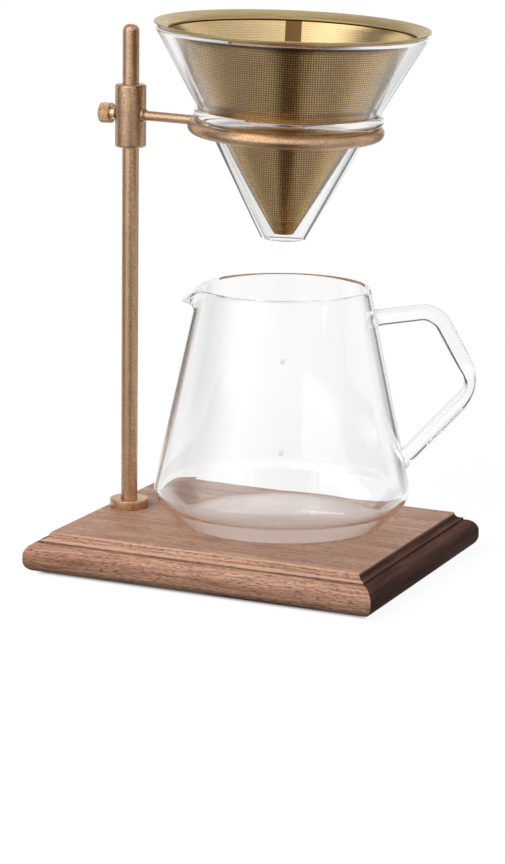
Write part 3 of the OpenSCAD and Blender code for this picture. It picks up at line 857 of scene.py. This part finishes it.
def sweep(path: Array, plane: Array, radius: Array, columns: int) -> tuple[Array, Array, Array]:
    """Carries a circle along a flat path: p + r (n cos a + b sin a), with b square to the plane and n = b x tangent.

    Args:
        path: Points of the path.
        plane: Direction square to the path's plane.
        radius: Radius at each point.
        columns: Points on each circle.

    Returns:
        The points, with the path's two ends as poles; the tangent of each row; and the unrolled places.
    """
    tangent = np.gradient(path, axis=0)
    tangent = tangent / np.linalg.norm(tangent, axis=1, keepdims=True)
    path = np.concatenate([path[:1], path, path[-1:]])
    tangent = np.concatenate([tangent[:1], tangent, tangent[-1:]])
    size = np.concatenate([[0.0], radius, [0.0]])[:, None, None]
    angle = evenly(columns)[None, :, None]
    normal = np.cross(plane, tangent)[:, None]
    points = path[:, None] + size * (normal * np.cos(angle) + plane * np.sin(angle))
    turn = np.linspace(0, 2 * math.pi, columns + 1)
    return points, tangent, unroll(np.full(len(path), radius.max()), turn, length_along(path))


@dataclass(frozen=True)
class WalnutBoard:
    """Walnut board whose edge is moulded with a cove, a quirk and a nosing, on four felt pads."""

    cove: float = 2.9
    cove_flat: float = 0.4
    quirk: float = 1.0
    nosing: float = 6.0
    under: float = 5.0
    edge_out: float = 9.0
    arris: float = 0.3
    corner: float = 0.35
    socket: float = 3.8
    bolt_hole: float = 2.2
    recess: float = 6.2
    recess_top: float = 7.2
    socket_low: float = 12.2

    def section(self, thick: float) -> Array:
        """Draws the moulded edge from the underside up.

        Args:
            thick: Thickness of the board.

        Returns:
            The way out past the flat top, and the height above the underside, of each point.
        """
        out, slab = self.edge_out, thick - self.cove - self.quirk
        neck = self.cove + self.cove_flat
        ledge = thick - self.cove
        nose = (out - self.nosing, slab - self.nosing)
        meet = math.degrees(math.acos((neck - nose[0]) / self.nosing))
        soft = self.arris / 2
        return np.concatenate([
            arc((out - self.under, self.under), self.under, -90, 0),
            arc(nose, self.nosing, 0, meet, 20),
            arc((neck - soft, ledge - soft), soft, 0, 90, 4),
            arc((self.cove, thick), self.cove, -90, -174, 14),
            arc((-self.arris, thick - self.arris), self.arris, 0, 90, 5),
        ])

    def outlines(self, half: Array, out: Array, gap: float = 2.0) -> Array:
        """Draws a rectangle with tiny rounds at its corners, moved out by each of some distances.

        Args:
            half: Half length and half depth of the flat top.
            out: The way out of each rectangle.
            gap: Distance of the points on the sides.

        Returns:
            Points of each rectangle, against the clock, by rows.
        """
        signs = np.array([(1, -1), (1, 1), (-1, 1), (-1, -1)])
        core = signs * (half - self.corner)
        rows = []
        for k in range(4):
            bend = core[k] + arc((0, 0), self.corner, 90 * k - 90, 90 * k, 4)
            ahead = core[(k + 1) % 4] + arc((0, 0), self.corner, 90 * k, 90 * k + 90, 4)[0]
            count = round(np.linalg.norm(ahead - bend[-1]) / gap)
            side = bend[-1] + (ahead - bend[-1]) * np.linspace(0, 1, count, endpoint=False)[1:, None]
            rows.append(np.concatenate([bend, side]))
        base = np.concatenate(rows)
        # Points on the sides spread in proportion, so that they keep with the corners
        return base + out[:, None, None] * np.clip(base / (half - self.corner), -1, 1)

    def board(self) -> Grid:
        """Joins the rectangles of the moulding, then closes the mesh through the holes under the column.

        Each hole is a circle about the column's axis, whose points lie at the angles of the rectangle's points.
        """
        low, high = cad_box("base_board")
        axis = cad_middle("column")[:2]
        middle, half = footprint("base_board", self.edge_out)
        edge = self.section(high[2] - low[2])
        flat = self.outlines(np.array(half), edge[:, 0]) + middle
        rise = np.broadcast_to(edge[:, None, 1:] + low[2], (*flat.shape[:2], 1))
        rim = np.concatenate([flat, rise], axis=2)
        seen = rim[-1, :, :2] - axis
        angle = np.arctan2(seen[:, 1], seen[:, 0])
        holes = np.array([(self.socket, high[2]), (self.socket, self.socket_low), (self.bolt_hole, self.socket_low),
                          (self.bolt_hole, self.recess_top), (self.recess, self.recess_top), (self.recess, low[2])])
        points = np.concatenate([rim, turned(holes[:, :1], holes[:, 1:], angle) + (*axis, 0)])
        ring = np.concatenate([rim[-1], rim[-1, :1]])
        along = length_along(np.concatenate([points[:, 0], points[:1, 0]]))
        return Grid(points, unroll(np.ones(len(along)), length_along(ring), along), loop=True)

    def build(self) -> None:
        """Makes the board and dresses its pads and the washer in its recess."""
        middle, half = footprint("base_board", self.edge_out)
        heights = cad_box("base_board")[1][2] - np.cumsum([0, self.cove, self.quirk])
        walnut = OiledWalnut(middle=middle, half=half, heights=tuple(heights.tolist()))
        make_piece("walnut_board", [self.board()], walnut, Body.STAND, ("base_board",))
        for side in ("front_left", "front_right", "back_left", "back_right"):
            dress_node("foot_pad_" + side, FELT)
        dress_node("column_washer", STEEL)


@dataclass(frozen=True)
class BrassColumn:
    """Round brass column with a domed top, its foot collar and its bolt."""

    radius: float = 3.75
    dome: float = 3.2
    bore: float = 2.05
    bore_top: float = 25.2
    foot_edge: float = 0.6
    foot_low_edge: float = 0.25
    foot_bore: float = 3.8

    def build(self) -> None:
        """Turns the column and the collar and dresses the bolt."""
        low, high = cad_box("column")
        axis = Frame.upright(*cad_middle("column")[:2], 0)
        corners = np.array([(0, self.bore_top), (self.bore, self.bore_top), (self.bore, low[2]), (self.radius, low[2]),
                            (self.radius, high[2]), (0, high[2])])
        shaft = rounded(corners, [0.1, 0.1, 0.2, self.dome], 12)
        make_piece("brass_column", [revolve(shaft, axis, loop=False)], BRASS, Body.COLUMN, ("column",))
        low, high = cad_box("column_foot")
        outer = (high - low)[0] / 2
        corners = np.array([(self.foot_bore, low[2]), (outer, low[2]), (outer, high[2]), (self.foot_bore, high[2]),
                            (self.foot_bore, low[2])])
        collar = rounded(corners, [self.foot_low_edge, self.foot_edge, 0.2], 6)[:-1]
        make_piece("brass_foot_collar", [revolve(collar, axis)], BRASS, Body.STAND, ("column_foot",))
        dress_node("column_bolt", STEEL)


def ring_frame() -> Frame:
    """Gives the ring's own frame, with its Z along the ring's leaning axis."""
    return Frame.about(cad_middle("support_ring"), np.array(RING_AXIS))


@dataclass(frozen=True)
class ClampedRing:
    """Sleeve on the column, its arm and ring, and the knurled thumbscrew that holds it.

    Attributes:
        arm_start: Distance of the arm's root from the column's axis.
        arm_end: Distance of its end.
        ring_face: Distance of the ring's near face.
        braze_sink: How far inside the sleeve's face the braze starts.
        stud_cover: Metal left between the stud's hole and the knob's face.
        tooth_rise: Way along the knob in which a groove reaches the next one's place.
        tooth_slope: Steepness of the teeth, which have a flat on top above 1.
        tooth_run: Way in which the grooves run out at the knob's ends.
    """

    bore: float = 3.8
    edge: float = 1.2
    arm: float = 2.2
    droop: float = 1.7
    arm_start: float = 5.1
    arm_end: float = 34.4
    ring_face: float = 33.0
    braze: float = 1.15
    ring_braze: float = 0.805
    braze_length: float = 1.9
    braze_sink: float = 0.6
    bar: float = 2.9
    knob: float = 4.65
    knob_length: float = 5.2
    knob_edge: float = 0.5
    neck: float = 2.8
    stud_hole: float = 1.8
    stud_cover: float = 0.8
    teeth: int = 18
    tooth_depth: float = 0.5
    tooth_rise: float = 1.6
    tooth_slope: float = 1.6
    tooth_run: float = 0.25

    def sleeve(self) -> Grid:
        """Turns the sleeve with rounded ends."""
        low, high = cad_box("clamp_sleeve")
        x, y, _ = cad_middle("clamp_sleeve")
        outer = (high - low)[0] / 2
        corners = np.array([(self.bore, low[2] + 5), (self.bore, low[2]), (outer, low[2]), (outer, high[2]),
                            (self.bore, high[2]), (self.bore, low[2] + 5)])
        return revolve(rounded(corners, [0.4, self.edge, self.edge, 0.4], 8)[:-1], Frame.upright(x, y, 0))

    def arm_rod(self) -> Grid:
        """Sweeps the arm, which swells to a fillet of braze at both ends.

        The radius is that of the rod plus the braze's width times the square of what is left of its length.
        """
        c, s = math.cos(math.radians(self.droop)), math.sin(math.radians(self.droop))
        way = np.linspace(self.arm_start, self.arm_end, 90)
        root = (*cad_middle("column")[:2], cad_middle("thumbscrew_stud")[2])
        path = np.array(root) + way[:, None] * np.array([c, 0, -s])
        sleeve = np.ptp(np.array(cad_box("clamp_sleeve"))[:, 0]) / 2
        near = np.clip(1 - (way - sleeve) / self.braze_length, 0, 1) * (way > sleeve - self.braze_sink)
        far = np.clip(1 - (self.ring_face - way) / self.braze_length, 0, 1)
        radius = self.arm + self.braze * near**2 + self.ring_braze * far**2
        points, _, uv = sweep(path, np.array([0.0, 1.0, 0.0]), radius, 48)
        return Grid(points, uv)

    def ring(self) -> Grid:
        """Turns the ring's round bar about the ring's leaning axis."""
        low, high = cad_box("support_ring")
        radius = (high - low)[1] / 2 - self.bar
        return revolve(arc((radius, 0), self.bar, 0, 360, 32)[:-1], ring_frame(), 160)

    def thumbscrew(self) -> Grid:
        """Turns the knob and cuts its diamond knurl.

        Two sets of grooves cross on the knob. Each is a triangle wave of the angle plus or minus the way along, and
        the lower of the two waves is the height of the diamond.
        """
        low, high = cad_box("thumbscrew_knob")
        face = high[0] - low[0]
        back, hole = face - self.knob_length, face - self.stud_cover
        place = Frame.about(np.array([high[0], *cad_middle("thumbscrew_knob")[1:]]), np.array([-1.0, 0.0, 0.0]))
        corners = np.array([(self.stud_hole, 0), (self.neck, 0), (self.neck, back), (self.knob, back),
                            (self.knob, face), (0, face)])
        line = rounded(corners, [0.2, 0.15, self.knob_edge, self.knob_edge], 5)
        first, last = np.flatnonzero(np.isclose(line[:, 0], self.knob, atol=1e-6))[[0, -1]]
        low_end, high_end = line[first, 1], line[last, 1]
        band = np.column_stack([np.full(56, self.knob), np.linspace(low_end, high_end, 56)])
        outline = np.concatenate([[(0, hole), (self.stud_hole, hole)], line[:first], band, line[last + 1:]])
        angle = evenly(self.teeth * 10)
        r, z = outline[:, :1], outline[:, 1:]
        turns = self.teeth * angle / (2 * math.pi)
        waves = [np.abs(2 * ((turns + sign * z / self.tooth_rise) % 1) - 1) for sign in (-1, 1)]
        height = np.clip(self.tooth_slope * (1 - np.maximum(*waves)), 0, 1)
        share = np.clip(np.minimum(z - low_end, high_end - z) / self.tooth_run + 1, 0, 1) * (r > self.neck + 1)
        local = turned(r - self.tooth_depth * (1 - height) * share, z, angle)
        uv = unroll(np.full(len(outline), self.knob), once_round(angle), length_along(outline))
        return Grid(place.place(local), uv)

    def build(self) -> None:
        """Makes the sleeve, the arm, the ring and the knob, and dresses the stud."""
        make_piece("brass_sleeve", [self.sleeve()], BRASS, Body.CARRIAGE, ("clamp_sleeve",))
        make_piece("brass_arm", [self.arm_rod()], BRASS, Body.CARRIAGE, ("arm_rod",))
        make_piece("brass_ring", [self.ring()], BRASS, Body.CARRIAGE, ("support_ring",))
        make_piece("knurled_knob", [self.thumbscrew()], KNURLED_BRASS, Body.KNOB,
                   ("thumbscrew_knob",), 25)
        dress_node("thumbscrew_stud", STEEL)


@dataclass(frozen=True)
class GlassBrewer:
    """Glass cone with a thick collar that sits in the ring, and an open tip."""

    offset: float = 1.1
    tip_in: Pair = (8.03, -48.4)
    tip_out: Pair = (10.4, -48.4)
    collar_low: Pair = (39.5, 5.5)
    collar_high: Pair = (39.5, 5.9)
    collar: float = 2.4
    collar_start: float = -141.17
    collar_end: float = 75.494
    lip: Pair = (58.55, 42.65)
    lip_radius: float = 1.05
    upper: float = 60.99
    throat: Pair = (36.254, 5.9)
    throat_round: float = 6.0
    tip_round: float = 0.8

    def place(self) -> Frame:
        """Gives the brewer's own frame, with its Z along the ring's axis."""
        ring = ring_frame()
        return Frame(ring.origin + self.offset * ring.axes[0], ring.axes)

    def outline(self) -> Array:
        """Draws the section: up the outside, over the lip and down the inside."""
        top = arc(self.lip, self.lip_radius, self.upper - 90, self.upper + 90, 14)
        bead = np.concatenate([arc(self.collar_low, self.collar, self.collar_start, 0, 18),
                               arc(self.collar_high, self.collar, 0, self.collar_end, 12)])
        tip = rounded(np.array([self.throat, self.tip_in, self.tip_out, tuple(bead[0])]), self.tip_round, 6)
        throat = rounded(np.array([top[-1], self.throat, self.tip_in]), self.throat_round, 8)
        return np.concatenate([tip[1:-1], bead, top, throat[1:-1]])

    def build(self) -> None:
        """Makes the glass cone."""
        shell = revolve(self.outline(), self.place(), 192)
        make_piece("glass_brewer", [shell], GLASS, Body.BREWER, ("brewer_glass",), 60)


@dataclass(frozen=True)
class ConeFilter:
    """Etched sheet rolled to a cone, with a dished flange above and a plain cup below."""

    rim: float = 60.5
    rim_low: float = 45.160
    slope: float = 29.0
    drop: float = 0.3
    flange_in: float = 55.129
    flange: float = 0.6
    sheet: float = 0.5806
    point: Pair = (4.2, -45.5)
    cone: float = 0.590257
    cup: float = 3.0
    floor: float = 0.5
    seam_at: float = 113.0

    def under(self, r: float) -> float:
        """Gives the height of the flange's underside at a radius."""
        return self.rim_low + math.tan(math.radians(self.slope)) * (r - self.rim)

    def along(self, z: Array) -> Array:
        """Gives the radius of the sheet's outside at a height: a cone that goes straight up below the flange."""
        return np.minimum(self.point[0] + self.cone * (z - self.point[1]), self.flange_in)

    def dished_flange(self, place: Frame) -> Grid:
        """Draws the flange with rounded edges and the plain collar that the sheet is welded to."""
        lift = self.flange / math.cos(math.radians(self.slope))
        knee = self.under(self.flange_in)
        inner = self.flange_in - self.sheet
        corners = np.array([(self.flange_in, knee - self.drop), (self.flange_in, knee), (self.rim, self.rim_low),
                            (self.rim, self.rim_low + lift), (inner, self.under(inner) + lift),
                            (inner, knee - self.drop), (self.flange_in, knee - self.drop)])
        line = rounded(corners, [0.5, 0.3, 0.28, 0.25, 0.1], 5)[:-1]
        return revolve(line, place, 192, start=self.seam_at)

    def etched_cone(self, place: Frame) -> Grid:
        """Rolls the sheet: its two faces share one unrolled pattern, so that the dots go straight through.

        On the unrolled sheet u is the radius times the angle from the middle of the front, and v is the way up.
        """
        foot = self.point[1] + self.cup
        rise = np.linspace(foot, self.under(self.flange_in) - self.drop, 60)
        z = np.concatenate([rise, rise[::-1]])
        outside = self.along(z)
        r = outside - self.sheet * (np.arange(len(z)) >= len(rise))
        grid = revolve(np.column_stack([r, z]), place, 192, start=self.seam_at)
        up = (z - foot) * math.sqrt(1 + self.cone**2)
        around, along = np.append(outside, outside[0]), np.append(up, up[0])
        return Grid(grid.points, unroll(around, once_round(evenly(192, self.seam_at)), along), loop=True)

    def closing_cup(self, place: Frame) -> Grid:
        """Draws the cup that closes the cone's point."""
        x, low = self.point
        high, sole = low + self.cup, low + self.floor
        corners = np.array([(0, low), (x, low), (self.along(high), high), (self.along(high) - self.sheet, high),
                            (self.along(sole) - self.sheet, sole), (0, sole)])
        return revolve(rounded(corners, [0.5, 0.12, 0.12, 0.3], 5), place, 96, False, self.seam_at)

    def mark_sheet(self, sheet: bpy.types.Object, place: Frame) -> None:
        """Writes what the finish needs of each point of the sheet.

        The distance in metres from the welded seam is the radius times the angle from it. A point lies within the cone
        where its radius is less than that of the middle of the sheet.
        """
        data = sheet.data
        points = np.empty(3 * len(data.vertices))
        data.vertices.foreach_get("co", points)
        local = (points.reshape(-1, 3) * 1000 - place.origin) @ place.axes.T
        away = np.arctan2(local[:, 1], local[:, 0]) - math.radians(self.seam_at)
        r = np.hypot(local[:, 0], local[:, 1])
        away = np.abs((away + math.pi) % (2 * math.pi) - math.pi) * r / 1000
        within = (r < self.along(local[:, 2]) - self.sheet / 2).astype(float)
        data.attributes.new("seam_distance", "FLOAT", "POINT").data.foreach_set("value", away)
        data.attributes.new("within", "FLOAT", "POINT").data.foreach_set("value", within)

    def build(self, place: Frame) -> None:
        """Makes the flange, the sheet and the cup.

        Args:
            place: Frame of the brewer that the filter hangs in.
        """
        make_piece("gilt_flange", [self.dished_flange(place)], GILT, Body.FILTER, ("filter_flange",))
        sheet = make_piece("etched_cone", [self.etched_cone(place)], MESH, Body.FILTER,
                           ("filter_cone",))
        self.mark_sheet(sheet, place)
        # The cup wears the gilt painted darker, as painted shade inside the glass
        make_piece("gilt_cup", [self.closing_cup(place)], SHADED_PLAIN_GILT, Body.FILTER, ("filter_tip",))


@dataclass(frozen=True)
class GlassServer:
    """Blown glass server with a beak drawn out of its mouth, a bent glass rod as its handle and two level dots."""

    turn: float = 27.0
    height: float = 107.6
    mouth: float = 38.4
    foot: Pair = (43.0, 5.0)
    foot_round: float = 5.0
    belly: Pair = (48.5, 16.1)
    belly_round: float = 9.0
    wall: float = 2.0
    wall_normal: float = 11.9095
    under_normal: float = -45.1963
    beak_height: float = 10.6
    beak_out: float = 8.1
    beak_drop: float = 6.6
    beak_spread: float = 5.2
    beak_round: float = 2.2
    beak_ease: float = 0.25
    # Share by which the columns crowd at the beak
    crowd: float = 0.75
    # Radius of the lip as a share of half the wall, and the height of the lip's root below the mouth
    lip_share: float = 0.96
    lip_down: float = 1.2
    # The sole is blown a little inwards: radius and height of its points below and above
    sole: tuple[Pair, ...] = ((0.0, 1.2), (12.0, 1.1), (24.0, 0.75), (33.0, 0.3))
    floor: tuple[Pair, ...] = ((33.0, 2.35), (24.0, 2.8), (12.0, 3.15), (0.0, 3.25))
    columns: int = 256
    rod: float = 3.75
    rod_path: tuple[Pair, ...] = ((36.16, 92.86), (68.2, 96.8), (87.1, 62.6), (51.35, 25.21))
    rod_bends: Pair = (10.5, 12.8)
    rod_sink: float = 5.25
    rod_draw: float = 0.9
    draw_length: float = 6.5
    rod_overlap: float = 0.15
    bead: float = 0.4
    bead_length: float = 0.9
    dots: Pair = (82.2, 43.6)
    dot_at: float = -67.1
    dot: float = 1.2

    def place(self) -> Frame:
        """Gives the server's own frame: on the board under its axis, with X away from the beak."""
        return Frame.upright(*cad_middle("server_body")[:2], cad_box("server_body")[0][2], self.turn)

    def wall_radius(self, z: Array) -> Array:
        """Gives the radius of the outer wall at a height."""
        lean = math.radians(self.wall_normal)
        return self.belly[0] + (self.belly_round - math.sin(lean) * (z - self.belly[1])) / math.cos(lean)

    def outline(self) -> Array:
        """Draws the section: out along the sole, up the outside, over the fire-polished lip and down the inside."""
        t = self.wall
        lip = t / 2 / math.cos(math.radians(self.wall_normal)) * self.lip_share
        crown = (self.mouth - lip, self.height - lip)
        lean = self.wall_normal
        outer = np.concatenate([
            self.sole,
            arc(self.foot, self.foot_round, -90, self.under_normal, 14),
            arc(self.belly, self.belly_round, self.under_normal, lean, 18),
        ])
        rise = np.linspace(outer[-1, 1], self.height - self.lip_down, 64)[1:]
        wall = np.column_stack([self.wall_radius(rise), rise])
        bow = arc(crown, lip, lean, 180 + lean, 14)
        fall = rise[::-1]
        back = np.column_stack([self.wall_radius(fall) - t / math.cos(math.radians(lean)), fall])
        inner = np.concatenate([
            arc(self.belly, self.belly_round - t, lean, self.under_normal, 18),
            arc(self.foot, self.foot_round - t, self.under_normal, -90, 12),
            self.floor,
        ])
        return np.concatenate([outer, wall, bow, back, inner])

    def body(self) -> Grid:
        """Turns the section and draws the beak out of it.

        The angles crowd at the beak: a = w - crowd sin w for even w. A point moves out and down by the beak's reach
        times exp(-(sqrt(a^2 + round^2) - round) / spread), which makes a pinched fold with a round keel, and by an
        eased share of its height above the beak's root.
        """
        w = evenly(self.columns)
        a = w - self.crowd * np.sin(w)
        off = np.degrees((a + math.pi) % (2 * math.pi) - math.pi)
        line = self.outline()
        r, z = line[:, :1], line[:, 1:]
        t = np.clip(1 - (self.height - z) / self.beak_height, 0, 1)
        share = t**2 * (1 + self.beak_ease) / (t + self.beak_ease)
        bell = np.exp((self.beak_round - np.hypot(off, self.beak_round)) / self.beak_spread)
        radius, height = r + self.beak_out * bell * share, z - self.beak_drop * bell * share
        uv = unroll(np.full(len(line), self.mouth), once_round(a), length_along(line))
        return Grid(self.place().place(turned(-radius, height, a)), uv)

    def handle(self) -> Grid:
        """Sweeps the bent rod, whose ends swell and are trimmed to the wall.

        The radius is that of the rod, plus a bead at both roots and less a bell where the outer corner was drawn thin.
        Points inside the wall slide along the rod until they are just under its face.
        """
        path = spread(rounded(np.array(self.rod_path), self.rod_bends, 40), 0.5)
        way = length_along(path)
        root = np.clip(np.minimum(way, way[-1] - way) - self.rod_sink, 0, None)
        corner = way[np.argmax(path[:, 0])]
        radius = self.rod + self.bead * np.exp(-root / self.bead_length)
        radius = radius - self.rod_draw * np.exp(-(((way - corner) / self.draw_length) ** 2))
        solid = np.column_stack([path[:, 0], np.zeros(len(path)), path[:, 1]])
        points, tangent, uv = sweep(solid, np.array([0.0, 1.0, 0.0]), radius, 48)
        half = len(points) // 2
        way_out = np.where((np.arange(len(points)) < half)[:, None], tangent, -tangent)[:, None]
        lean = math.tan(math.radians(self.wall_normal))
        for _ in range(8):
            axis = np.hypot(points[..., 0], points[..., 1])
            deep = np.clip(self.wall_radius(points[..., 2]) - self.rod_overlap - axis, 0, None)
            gain = (points[..., :2] * way_out[..., :2]).sum(2) / axis + lean * way_out[..., 2]
            points = points + way_out * (deep / np.clip(gain, 0.2, None))[..., None]
        return Grid(self.place().place(points), uv)

    def level_dot(self, height: float) -> Grid:
        """Turns a flat lens on the outside of the wall at a height."""
        place = self.place()
        a = math.radians(self.dot_at)
        lean = math.radians(self.wall_normal)
        out = np.array([math.cos(a) * math.cos(lean), math.sin(a) * math.cos(lean), math.sin(lean)])
        r = self.wall_radius(height)
        spot = place.origin + (r * math.cos(a), r * math.sin(a), height)
        line = rounded(np.array([(0, -0.1), (self.dot, -0.1), (self.dot, 0.04), (0, 0.06)]), [0.04, 0.04], 3)
        return revolve(line, Frame.about(spot, out), 24, False)

    def build(self) -> None:
        """Makes the body, the handle and the dots."""
        make_piece("glass_server", [self.body()], GLASS, Body.SERVER, ("server_body",), 60)
        make_piece("glass_handle", [self.handle()], GLASS, Body.SERVER, ("server_handle",), 60)
        make_piece("level_dots", [self.level_dot(h) for h in self.dots], INK, Body.SERVER, ())


@dataclass(frozen=True)
class Softbox:
    """Soft studio lamp, whose own reflection is left to the surroundings.

    Attributes:
        name: Name of the lamp.
        place: Where it stands, in metres.
        size: Width and height in metres.
        power: Power in watts.
        aim: Point that it faces, in metres.
    """

    name: str
    place: Triple
    size: Pair
    power: float
    aim: Triple = (0.0, 0.0, 0.12)

    def build(self) -> None:
        """Makes the lamp."""
        lamp = bpy.data.lights.new(self.name, "AREA")
        lamp.shape, lamp.size, lamp.size_y, lamp.energy = "RECTANGLE", *self.size, self.power
        holder = bpy.data.objects.new(self.name, lamp)
        holder.location = self.place
        holder.visible_glossy = False
        holder.rotation_euler = (Vector(self.aim) - Vector(self.place)).to_track_quat("-Z", "Y").to_euler()
        bpy.context.scene.collection.objects.link(holder)


@dataclass(frozen=True)
class Studio:
    """White floor, soft lamps, white surroundings and the camera of the photograph.

    Attributes:
        lamps: The soft lamps.
        surround: What metal and glass see beyond the floor.
        hood: Middle and half height of the dark band above, as sines of the angle, and its brightness.
        ambient: Brightness of the surroundings for matt surfaces.
        floor: Side of the floor in metres.
        azimuth: Degrees by which the camera stands to the right of the front.
        pitch: Degrees by which it looks down.
        roll: Degrees by which it is rolled.
        distance: Distance of the camera from the target.
        target: Point in the middle of the view's axis.
        focal: Focal length in pixels of the photograph.
        centre: Where the axis meets the photograph, in pixels.
        image: Width and height of the photograph in pixels.
        sensor: Length of the sensor's long side.
    """

    lamps: tuple[Softbox, ...] = (
        Softbox("key_softbox", (-0.7, -1.5, 1.5), (1.6, 1.6), 62.0),
        Softbox("top_softbox", (0.0, 0.2, 1.9), (1.4, 1.0), 5.0),
        Softbox("right_softbox", (1.6, -0.2, 0.9), (0.5, 1.0), 3.0),
    )
    surround: Surround = Surround()
    hood: Triple = (0.58, 0.16, 0.12)
    ambient: float = 0.28
    floor: float = 8.0
    azimuth: float = 24.153
    pitch: float = 9.881
    roll: float = 0.711
    distance: float = 1206.65
    target: Triple = (-1.745, 0.0, 122.432)
    focal: float = 2711.29
    centre: Pair = (259.29, 294.71)
    image: tuple[int, int] = (505, 864)
    sensor: float = 36.0

    def lay_floor(self) -> None:
        """Lays the white card under the stand."""
        h = self.floor / 2
        mesh = bpy.data.meshes.new("floor")
        mesh.from_pydata([(-h, -h, 0), (h, -h, 0), (h, h, 0), (-h, h, 0)], [], [(0, 1, 2, 3)])
        middle, half = footprint("base_board")
        mesh.materials.append(StudioFloor(under_middle=middle, under_half=half).material())
        floor = bpy.data.objects.new("floor", mesh)
        bpy.context.scene.collection.objects.link(floor)

    def set_world(self) -> None:
        """Makes the surroundings white for the camera, flagged for metal and glass, and dim for matt surfaces."""
        world = bpy.data.worlds.new("white_surroundings")
        world.use_nodes = True
        tree = world.node_tree
        tree.nodes.clear()
        way = add(tree, "TexCoord").outputs["Generated"]
        middle, reach, dark = self.hood
        hood = calc(tree, "COMPARE", add(tree, "SeparateXYZ", {0: way}).outputs[2], middle, reach)
        hood = calc(tree, "MULTIPLY", hood, seen_through(tree))
        level = between(tree, hood, self.surround.level(tree, way), dark)
        level = between(tree, bent(tree), self.ambient, level)
        level = between(tree, add(tree, "LightPath").outputs["Is Camera Ray"], level, 1.0)
        sky = add(tree, "Background", {"Color": linear("#ffffff"), "Strength": level}).outputs[0]
        add(tree, "OutputWorld", {"Surface": sky})
        bpy.context.scene.world = world

    def set_camera(self) -> None:
        """Puts the camera where the photograph was taken from."""
        a, e, r = (math.radians(angle) for angle in (self.azimuth, self.pitch, self.roll))
        ahead = Vector((-math.sin(a) * math.cos(e), math.cos(a) * math.cos(e), -math.sin(e)))
        level = Vector((math.cos(a), math.sin(a), 0))
        rise = level.cross(ahead)
        right = level * math.cos(r) + rise * math.sin(r)
        up = rise * math.cos(r) - level * math.sin(r)
        data = bpy.data.cameras.new("camera")
        long_side = max(self.image)
        data.sensor_width = self.sensor
        data.lens = self.focal * self.sensor / long_side
        data.shift_x = (self.image[0] / 2 - self.centre[0]) / long_side
        data.shift_y = (self.centre[1] - self.image[1] / 2) / long_side
        camera = bpy.data.objects.new("camera", data)
        camera.matrix_world = Matrix((right, up, -ahead)).transposed().to_4x4()
        camera.location = (Vector(self.target) - ahead * self.distance) / 1000
        bpy.context.scene.collection.objects.link(camera)
        bpy.context.scene.camera = camera

    def build(self) -> None:
        """Sets up the floor, the lamps, the surroundings and the camera."""
        self.lay_floor()
        for lamp in self.lamps:
            lamp.build()
        self.set_world()
        self.set_camera()
        bpy.context.scene.view_settings.view_transform = "Standard"


def main() -> None:
    """Builds the studio and the sub-assemblies in order."""
    logging.basicConfig(level=logging.INFO, format="%(message)s")
    Studio().build()
    WalnutBoard().build()
    BrassColumn().build()
    ClampedRing().build()
    brewer = GlassBrewer()
    brewer.build()
    ConeFilter().build(brewer.place())
    GlassServer().build()


if __name__ == "__main__":
    main()
